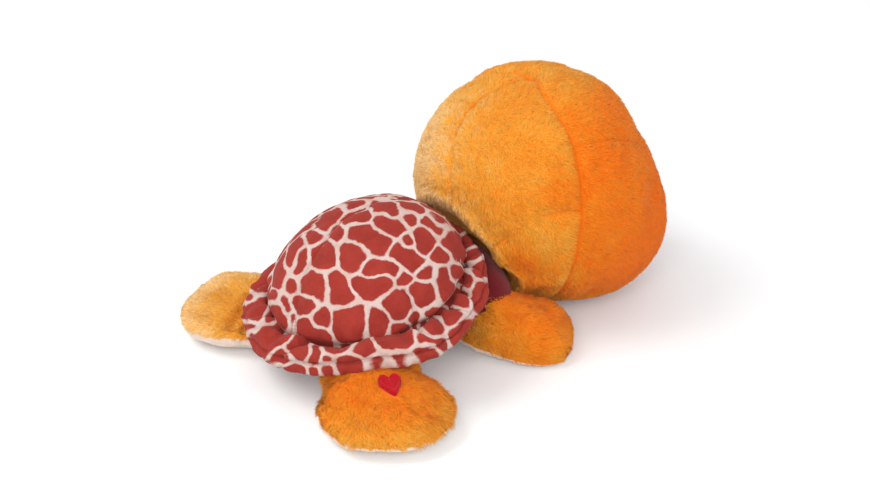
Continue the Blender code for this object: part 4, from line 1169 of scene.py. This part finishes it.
def make_rim():
    """The shell's padded rim: a roll with a seam along its outer edge, gathered and folded in places."""
    around = np.arange(RIM_COLUMNS) * 2 * math.pi / RIM_COLUMNS - math.pi
    section = (np.arange(RIM_ROWS) * 2 * math.pi / RIM_ROWS)[:, None]
    points, faces, normal = rim_roll(around, section)
    turn = np.repeat(section.ravel(), RIM_COLUMNS)
    degrees = np.tile(np.degrees(around), RIM_ROWS)
    seam_far = np.angle(np.exp(1j * (turn - math.radians(RIM_SEAM)))) * RIM_HALF_WIDTH
    swell = rim_swell(turn, degrees, seam_far)
    points = shell_to_turtle(points + normal * swell[:, None])
    held = np.maximum(gauss(seam_far, 2.2), smooth_step(-np.sin(turn), 0.2, 0.8))
    held = np.maximum(held, smooth_step(np.abs(degrees), 118.0, 140.0))
    points = stuffed("rim_cloth", points, faces, held, size=3.6, limit=3.0, growth=0.12)
    rim = make_mesh("shell_rim_plush", points, faces, [MATERIALS["print"]])
    ring = RIM_RADIUS * np.stack([np.sin(np.radians(degrees)), np.cos(np.radians(degrees))], -1)
    cloth = np.concatenate([ring, turn[:, None] * RIM_SECTION], -1)
    patch = print_field(points, faces, cloth, RIM_PATCHES, grazing=0.02, seed=9)
    add_values(rim, "patch", patch)
    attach(rim, "body")
    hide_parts("shell_rim_cover", "shell_rim_wadding")


# Belly, chest and neck

BELLY_RADII = np.array([50.5, 50.5, 36.5])
BELLY_INSET = 1.0


def make_belly():
    """The maroon underside, and the chest that fills the hollow under the head; their maroon is partly
    painted shade.
    """
    aim, faces = cube_ball(64)
    start = np.array([0.0, 0.0, SHELL_HEIGHT])
    ahead = turtle_to_shell(start + aim)
    reach = ray_hits(np.zeros(3), ahead, np.zeros(3), BELLY_RADII)[1]
    chest = ray_hits(start, aim, NECK_HOLLOW[0], NECK_HOLLOW[1] - CHEST_SLACK)[1]
    reach = -soft_min(-reach, -chest, 1.5)
    points = turtle_to_shell(start + aim * (reach - BELLY_INSET)[:, None])
    points[:, 2] = np.minimum(points[:, 2], 1.0)
    points = shell_to_turtle(points)
    points = points + 0.8 * noise_vector(points, 16.0, 101) * smooth_step(points[:, 2], 3.0, 9.0)[:, None]
    points[:, 2] = np.maximum(points[:, 2], 0.3)
    faces = out_facing(points, faces, points.mean(0))
    belly = make_mesh("chest_and_belly_plush", points, faces, [MATERIALS["maroon"]])
    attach(belly, "body")
    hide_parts("belly_panel")


# Flippers

BADGE_CLEARING = 5.6         # no pile is rooted this near the badge's middle
PILE_FAN = 25.0              # the pile fans out from this far behind a flipper's middle
REAR_RIGHT_OUTLINE = (
    (-24, 46), (-36, 54), (-49, 65.5), (-62, 70), (-76, 68.5), (-86, 61.5), (-93.5, 51.5), (-97.6, 40.5),
    (-97, 28), (-91.5, 16), (-83, 8), (-73.5, 5.8), (-64.5, 7.5), (-57, 8.5), (-48, 4), (-39, -1),
    (-26, 7), (-20, 28),
)
REAR_LEFT_OUTLINE = (
    (22, 46), (33, 59), (41.5, 68.3), (51.5, 74.2), (62, 75.5), (72, 72), (80, 65), (88, 55.5), (93, 45),
    (94, 34), (90, 22), (83, 13), (74, 9.5), (64, 9), (55, 8), (46, 3), (38, 0), (26, 8), (20, 28),
)
FRONT_RIGHT_OUTLINE = (
    (-22, -36), (-35, -36.5), (-48, -41.5), (-61, -50), (-70, -60), (-73, -69.5), (-69, -79), (-61, -87),
    (-52, -94), (-42, -90), (-34, -80), (-27, -68), (-20, -56), (-19, -44),
)


def flipper_point(outline, middle, share, seam, thick, top):
    """A point over a share of the way from the middle to the outline, above or below the seam."""
    plan = middle + (outline - middle) * share[..., None]
    full = np.sqrt(np.maximum(1.0 - share ** 2.5, 0.0))
    base = seam(plan)
    height = base + (thick(plan) - base) * full if top else base - (base - 0.2) * full
    return np.concatenate([plan, (height + 0.0 * share)[..., None]], -1)


def make_flipper(name, knots, middle, seam, thick, creases, way, nap_and_light, strand, seed):
    """A stuffed flipper: plush above a seam round its edge, a pale sole below, and pile on top."""
    columns, rows = 220, 34
    body = "flipper_" + name
    outline = closed_curve(knots, columns)
    middle = np.array(middle, float)
    share = (np.sin(np.linspace(0.0, math.pi / 2, rows)) ** 0.9)[:, None] + 0.0 * outline[None, :, 0]
    top = flipper_point(outline, middle, share, seam, thick, True)
    bottom = flipper_point(outline, middle, share[::-1][1:], seam, thick, False)
    points, faces = ball_mesh(np.concatenate([top, bottom]))
    faces = out_facing(points, faces, points.mean(0))
    slots = (np.arange(len(faces)) >= (rows - 1) * columns).astype(int)
    normal = normals_of(points, faces)
    free = smooth_step(points[:, 2], 1.0, 6.0)
    swell = 1.1 * noise(points, 17.0, seed) + 0.4 * noise(points, 6.0, seed + 3)
    for line, depth, width in creases:
        far = np.sqrt(((points[:, None, :2] - open_curve(line, 50)) ** 2).sum(-1)).min(1)
        swell = swell - smooth_step(points[:, 2], 6.0, 12.0) * depth * gauss(far, width)
    points = points + normal * (swell * free)[:, None]
    edge = np.concatenate([outline, seam(outline)[:, None]], -1)
    held = gauss(nearest(points, edge), 2.4)
    held = np.maximum(held, 1.0 - smooth_step(points[:, 2], 0.8, 3.0))
    held = np.maximum(held, 1.0 - smooth_step(np.linalg.norm(points[:, :2], axis=1), 50.0, 58.0))
    points = stuffed(name + "_cloth", points, faces, held, size=3.6, limit=1.1, growth=0.05)
    points[:, 2] = np.maximum(points[:, 2], 0.25)
    piece = make_mesh(body + "_plush", points, faces, [MATERIALS["skin"], MATERIALS["cream"]], slots)
    add_values(piece, "nap_and_light", nap_and_light(points))
    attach(piece, body)
    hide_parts(body + "_top", body + "_sole", body + "_filling")
    badged = name == "rear_right"
    if badged:
        make_badge(ray_tree(points, faces))
    normal = normals_of(points, faces)
    fan_root = middle - np.array(way) * PILE_FAN
    make_flipper_pile(body, points, faces[slots == 0], normal, fan_root, nap_and_light, strand, seed, badged)


def make_flipper_pile(body, points, above, normal, fan_root, nap_and_light, strand, seed, badged):
    """Pile on the quads above the seam, which fans out from fan_root and leaves a badge clear."""
    rng = np.random.default_rng(seed)
    chosen, roots = random_places(points, above, FLIPPER_PILE_DENSITY, rng)
    face_normal = unit(normal[above[chosen]].mean(1))
    if badged:
        clear = np.linalg.norm(roots[:, :2] - badge_middle()[:2], axis=1) > BADGE_CLEARING
        roots, face_normal = roots[clear], face_normal[clear]
    spread = roots[:, :2] - fan_root
    comb = np.concatenate([unit(spread), -0.05 + 0.0 * roots[:, :1]], -1)
    comb = comb + 0.5 * noise_vector(roots, 11.0, seed + 20) + 0.65 * noise_vector(roots, 2.6, seed + 30)
    comb = comb + 0.22 * rng.normal(size=comb.shape)
    length = strand * rng.uniform(0.75, 1.2, len(roots))
    lift = np.radians(26.0 + 13.0 * noise(roots, 2.4, seed + 40) + rng.normal(0.0, 6.0, len(roots)))
    fur(body + "_pile", roots, face_normal, comb, length, FLIPPER_PILE_WIDTH, lift, nap_and_light(roots), rng, body)


def leaning(low, lift, root, way, length):
    """Height that rises from low at a flipper's far end by lift at its root."""
    root, way = np.array(root, float), unit(np.array(way, float))

    def height(plan):
        reach = (plan - root) @ way / length
        return low + lift * np.clip(1.0 - reach, 0.0, 1.2) ** 1.5
    return height


def edge_nap_and_light(middle, size, low, high):
    """Pile deep over the middle and paler towards its edge and root: painted light."""
    def nap_and_light(points):
        far = np.linalg.norm((points[:, :2] - middle) / size, axis=1)
        return low + (high - low) * smooth_step(far, 0.45, 1.1)
    return nap_and_light


def level_way(degrees, sign=1.0):
    return sign * math.cos(math.radians(degrees)), math.sin(math.radians(degrees))


REAR_RIGHT_WAY = level_way(17, -1.0)
REAR_LEFT_CREASES = ((((62, 14), (55, 36), (42, 60)), 3.4, 2.8), (((54, 14), (47, 36), (36, 56)), 2.6, 2.4))


def make_flippers():
    root, way = (-33, 24), REAR_RIGHT_WAY
    make_flipper("rear_right", REAR_RIGHT_OUTLINE, (-64, 38), leaning(8.5, 4.0, root, way, 66.0),
                 leaning(19.5, 17.0, root, way, 58.0), (), way,
                 edge_nap_and_light((-56, 36), (46, 40), 0.26, 0.66), 3.9, 201)
    # The flippers are one cloth; the rear left is painted paler all over: painted light where the light
    # falls on it.
    root, way = (30, 24), level_way(29)
    make_flipper("rear_left", REAR_LEFT_OUTLINE, (62, 42), leaning(11.5, 2.0, root, way, 66.0),
                 leaning(21.0, -4.0, root, way, 60.0), REAR_LEFT_CREASES, way,
                 edge_nap_and_light((40, 34), (48, 44), 0.64, 0.96), 2.5, 231)
    for name, sign, seed in (("right", -1.0, 246), ("left", 1.0, 276)):
        root, way = (sign * 27, -46), level_way(-40, sign)
        outline = [(-sign * x, y) for x, y in FRONT_RIGHT_OUTLINE][::-int(sign)]
        make_flipper("front_" + name, outline, (sign * 48, -64), leaning(2.2, 7.0, root, way, 57.0),
                     leaning(22.0, 22.0, root, way, 57.0), (), way,
                     edge_nap_and_light((sign * 51, -70), (32, 32), 0.26, 0.62), 2.8, seed)


# Badge

BADGE_SIZE = (12.0, 12.0)
BADGE_RISE = 2.4             # over the flipper's backing, so that it stands clear of the pile
HEART = ((0.50, 0.00), (0.12, 0.34), (-0.20, 0.50), (-0.43, 0.40), (-0.46, 0.18), (-0.30, 0.00),
         (-0.46, -0.18), (-0.43, -0.40), (-0.20, -0.50), (0.12, -0.34))


def badge_middle():
    low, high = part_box("embroidered_badge")
    return (np.array(low) + np.array(high)) / 2 / MM - ROOT


def make_badge(tree):
    """A small heart embroidered in satin stitch, raised in the middle, with a corded edge."""
    out = np.array([*REAR_RIGHT_WAY, 0.0])
    across = np.array([-out[1], out[0], 0.0])
    steps, rows = 120, 14
    outline = closed_curve(HEART, steps) * BADGE_SIZE
    share = np.linspace(0.0, 1.0, rows)[:, None, None]
    plan = badge_middle() * [1.0, 1.0, 0.0] + (outline * share) @ np.stack([out, across])
    ground = np.array([tree.ray_cast(Vector((*spot[:2], 90.0)), Vector((0, 0, -1)))[0][2]
                       for spot in plan.reshape(-1, 3)]).reshape(plan.shape[:2])
    middle_height = ground[0, 0]
    ground = middle_height + (ground - middle_height) * 0.85
    level = share[..., 0]
    cord = 0.75 * gauss(level - 0.90, 0.085)
    satin = 0.13 * np.sin(outline[:, 1] * level * 2 * math.pi / 0.8)
    height = BADGE_RISE * np.minimum(1.0, (1.0 - level) * 9.0 + 0.55) + 0.35 * (1.0 - level ** 2) + cord
    upward = np.array([0.0, 0.0, 1.0])
    top = plan + upward * (ground + height + satin * (level < 0.86))[..., None]
    low = plan + upward * (ground - 0.6)[..., None]
    points, faces = ball_mesh(np.concatenate([top, low[::-1]]))
    faces = out_facing(points, faces, points.mean(0))
    badge = make_mesh("heart_badge", points, faces, [MATERIALS["crimson"]])
    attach(badge, "flipper_rear_right")
    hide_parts("embroidered_badge")


# Studio

WORLD_LIGHT = 0.77
FLOOR_COLOUR = (0.83, 0.845, 0.85, 1.0)
FLOOR_GLOW = 0.10            # to straight looks alone, so that the floor is white and keeps its shadows
LIGHT_SIZE = 0.9
LIGHT_MIDDLE = Vector((0.0, 0.0, 0.05))
# Name, way to it as shares of right, up and level back from the camera, distance in metres, watts, colour
LIGHTS = (
    ("key", (-0.80, 1.05, 0.10), 1.5, 8.8, (1.0, 0.985, 0.96)),
    ("front", (-0.10, 0.66, 1.0), 1.6, 10.0, (1.0, 1.0, 1.0)),
    ("side", (1.0, 0.45, 0.45), 1.6, 3.4, (1.0, 1.0, 1.0)),
)


def ray_share(tree, *kinds):
    """1 for rays of the kinds named and 0 for all others."""
    path = tree.nodes.new("ShaderNodeLightPath")
    share = path.outputs[kinds[0]]
    for kind in kinds[1:]:
        either = tree.nodes.new("ShaderNodeMath")
        either.operation = "MAXIMUM"
        tree.links.new(share, either.inputs[0])
        tree.links.new(path.outputs[kind], either.inputs[1])
        share = either.outputs[0]
    return share


def mixed_surface(tree, share, first, second, end):
    """Shows the first shader, and the second where share is 1."""
    chosen = tree.nodes.new("ShaderNodeMixShader")
    for socket, source in zip(chosen.inputs, (share, first.outputs[0], second.outputs[0])):
        tree.links.new(source, socket)
    tree.links.new(chosen.outputs[0], tree.nodes[end].inputs["Surface"])


def make_camera(scene, place, right, up, back):
    data = bpy.data.cameras.new("camera")
    data.sensor_width = SENSOR_WIDTH
    data.lens = FOCAL_PIXELS / IMAGE_WIDTH * SENSOR_WIDTH
    data.clip_start, data.clip_end = 0.05, 20.0
    camera = bpy.data.objects.new("camera", data)
    scene.collection.objects.link(camera)
    turned = Matrix((right, up, back)).transposed().to_4x4()
    camera.matrix_world = Matrix.Translation((place + Vector(ROOT)) * MM) @ turned
    scene.camera = camera
    scene.view_settings.view_transform = "Standard"


def make_lights(scene, right, back):
    level_back = Vector((back.x, back.y, 0.0)).normalized()
    for name, (aside, rise, ahead), distance, power, colour in LIGHTS:
        lamp = bpy.data.lights.new(name, "AREA")
        lamp.shape = "DISK"
        lamp.size = LIGHT_SIZE
        lamp.energy = power
        lamp.color = colour
        made = bpy.data.objects.new(name, lamp)
        scene.collection.objects.link(made)
        aim = (right * aside + Vector((0, 0, rise)) + level_back * ahead).normalized()
        turned = aim.to_track_quat("Z", "Y").to_matrix().to_4x4()
        made.matrix_world = Matrix.Translation(LIGHT_MIDDLE + aim * distance) @ turned


def make_world(scene):
    world = bpy.data.worlds.new("studio")
    scene.world = world
    world.use_nodes = True
    light = world.node_tree.nodes["Background"]
    light.inputs["Color"].default_value = (1.0, 1.0, 1.0, 1.0)
    light.inputs["Strength"].default_value = WORLD_LIGHT
    seen = world.node_tree.nodes.new("ShaderNodeBackground")
    seen.inputs["Strength"].default_value = 1.0
    share = ray_share(world.node_tree, "Is Camera Ray", "Is Glossy Ray", "Is Transmission Ray")
    mixed_surface(world.node_tree, share, light, seen, "World Output")


def make_floor(scene):
    mesh = bpy.data.meshes.new("floor")
    far = 6.0
    corners = [(-far, -far, 0), (far, -far, 0), (far, far, 0), (-far, far, 0)]
    mesh.from_pydata(corners, [], [(0, 1, 2, 3)])
    floor = bpy.data.objects.new("floor", mesh)
    scene.collection.objects.link(floor)
    made = bpy.data.materials.new("floor")
    made.use_nodes = True
    tree = made.node_tree
    tree.nodes.remove(tree.nodes["Principled BSDF"])
    paper = tree.nodes.new("ShaderNodeBsdfDiffuse")
    paper.inputs["Color"].default_value = FLOOR_COLOUR
    glow = tree.nodes.new("ShaderNodeEmission")
    glow.inputs["Strength"].default_value = FLOOR_GLOW
    added = tree.nodes.new("ShaderNodeAddShader")
    tree.links.new(paper.outputs[0], added.inputs[0])
    tree.links.new(glow.outputs[0], added.inputs[1])
    mixed_surface(tree, ray_share(tree, "Is Camera Ray", "Is Glossy Ray"), paper, added, "Material Output")
    mesh.materials.append(made)


def make_studio():
    scene = bpy.context.scene
    place, right, up, back = (Vector(value) for value in camera_axes())
    make_camera(scene, place, right, up, back)
    make_lights(scene, right, back)
    make_world(scene)
    make_floor(scene)


make_studio()
make_head()
make_eyes()
make_stitched_face()
make_dome()
make_rim()
make_belly()
make_flippers()
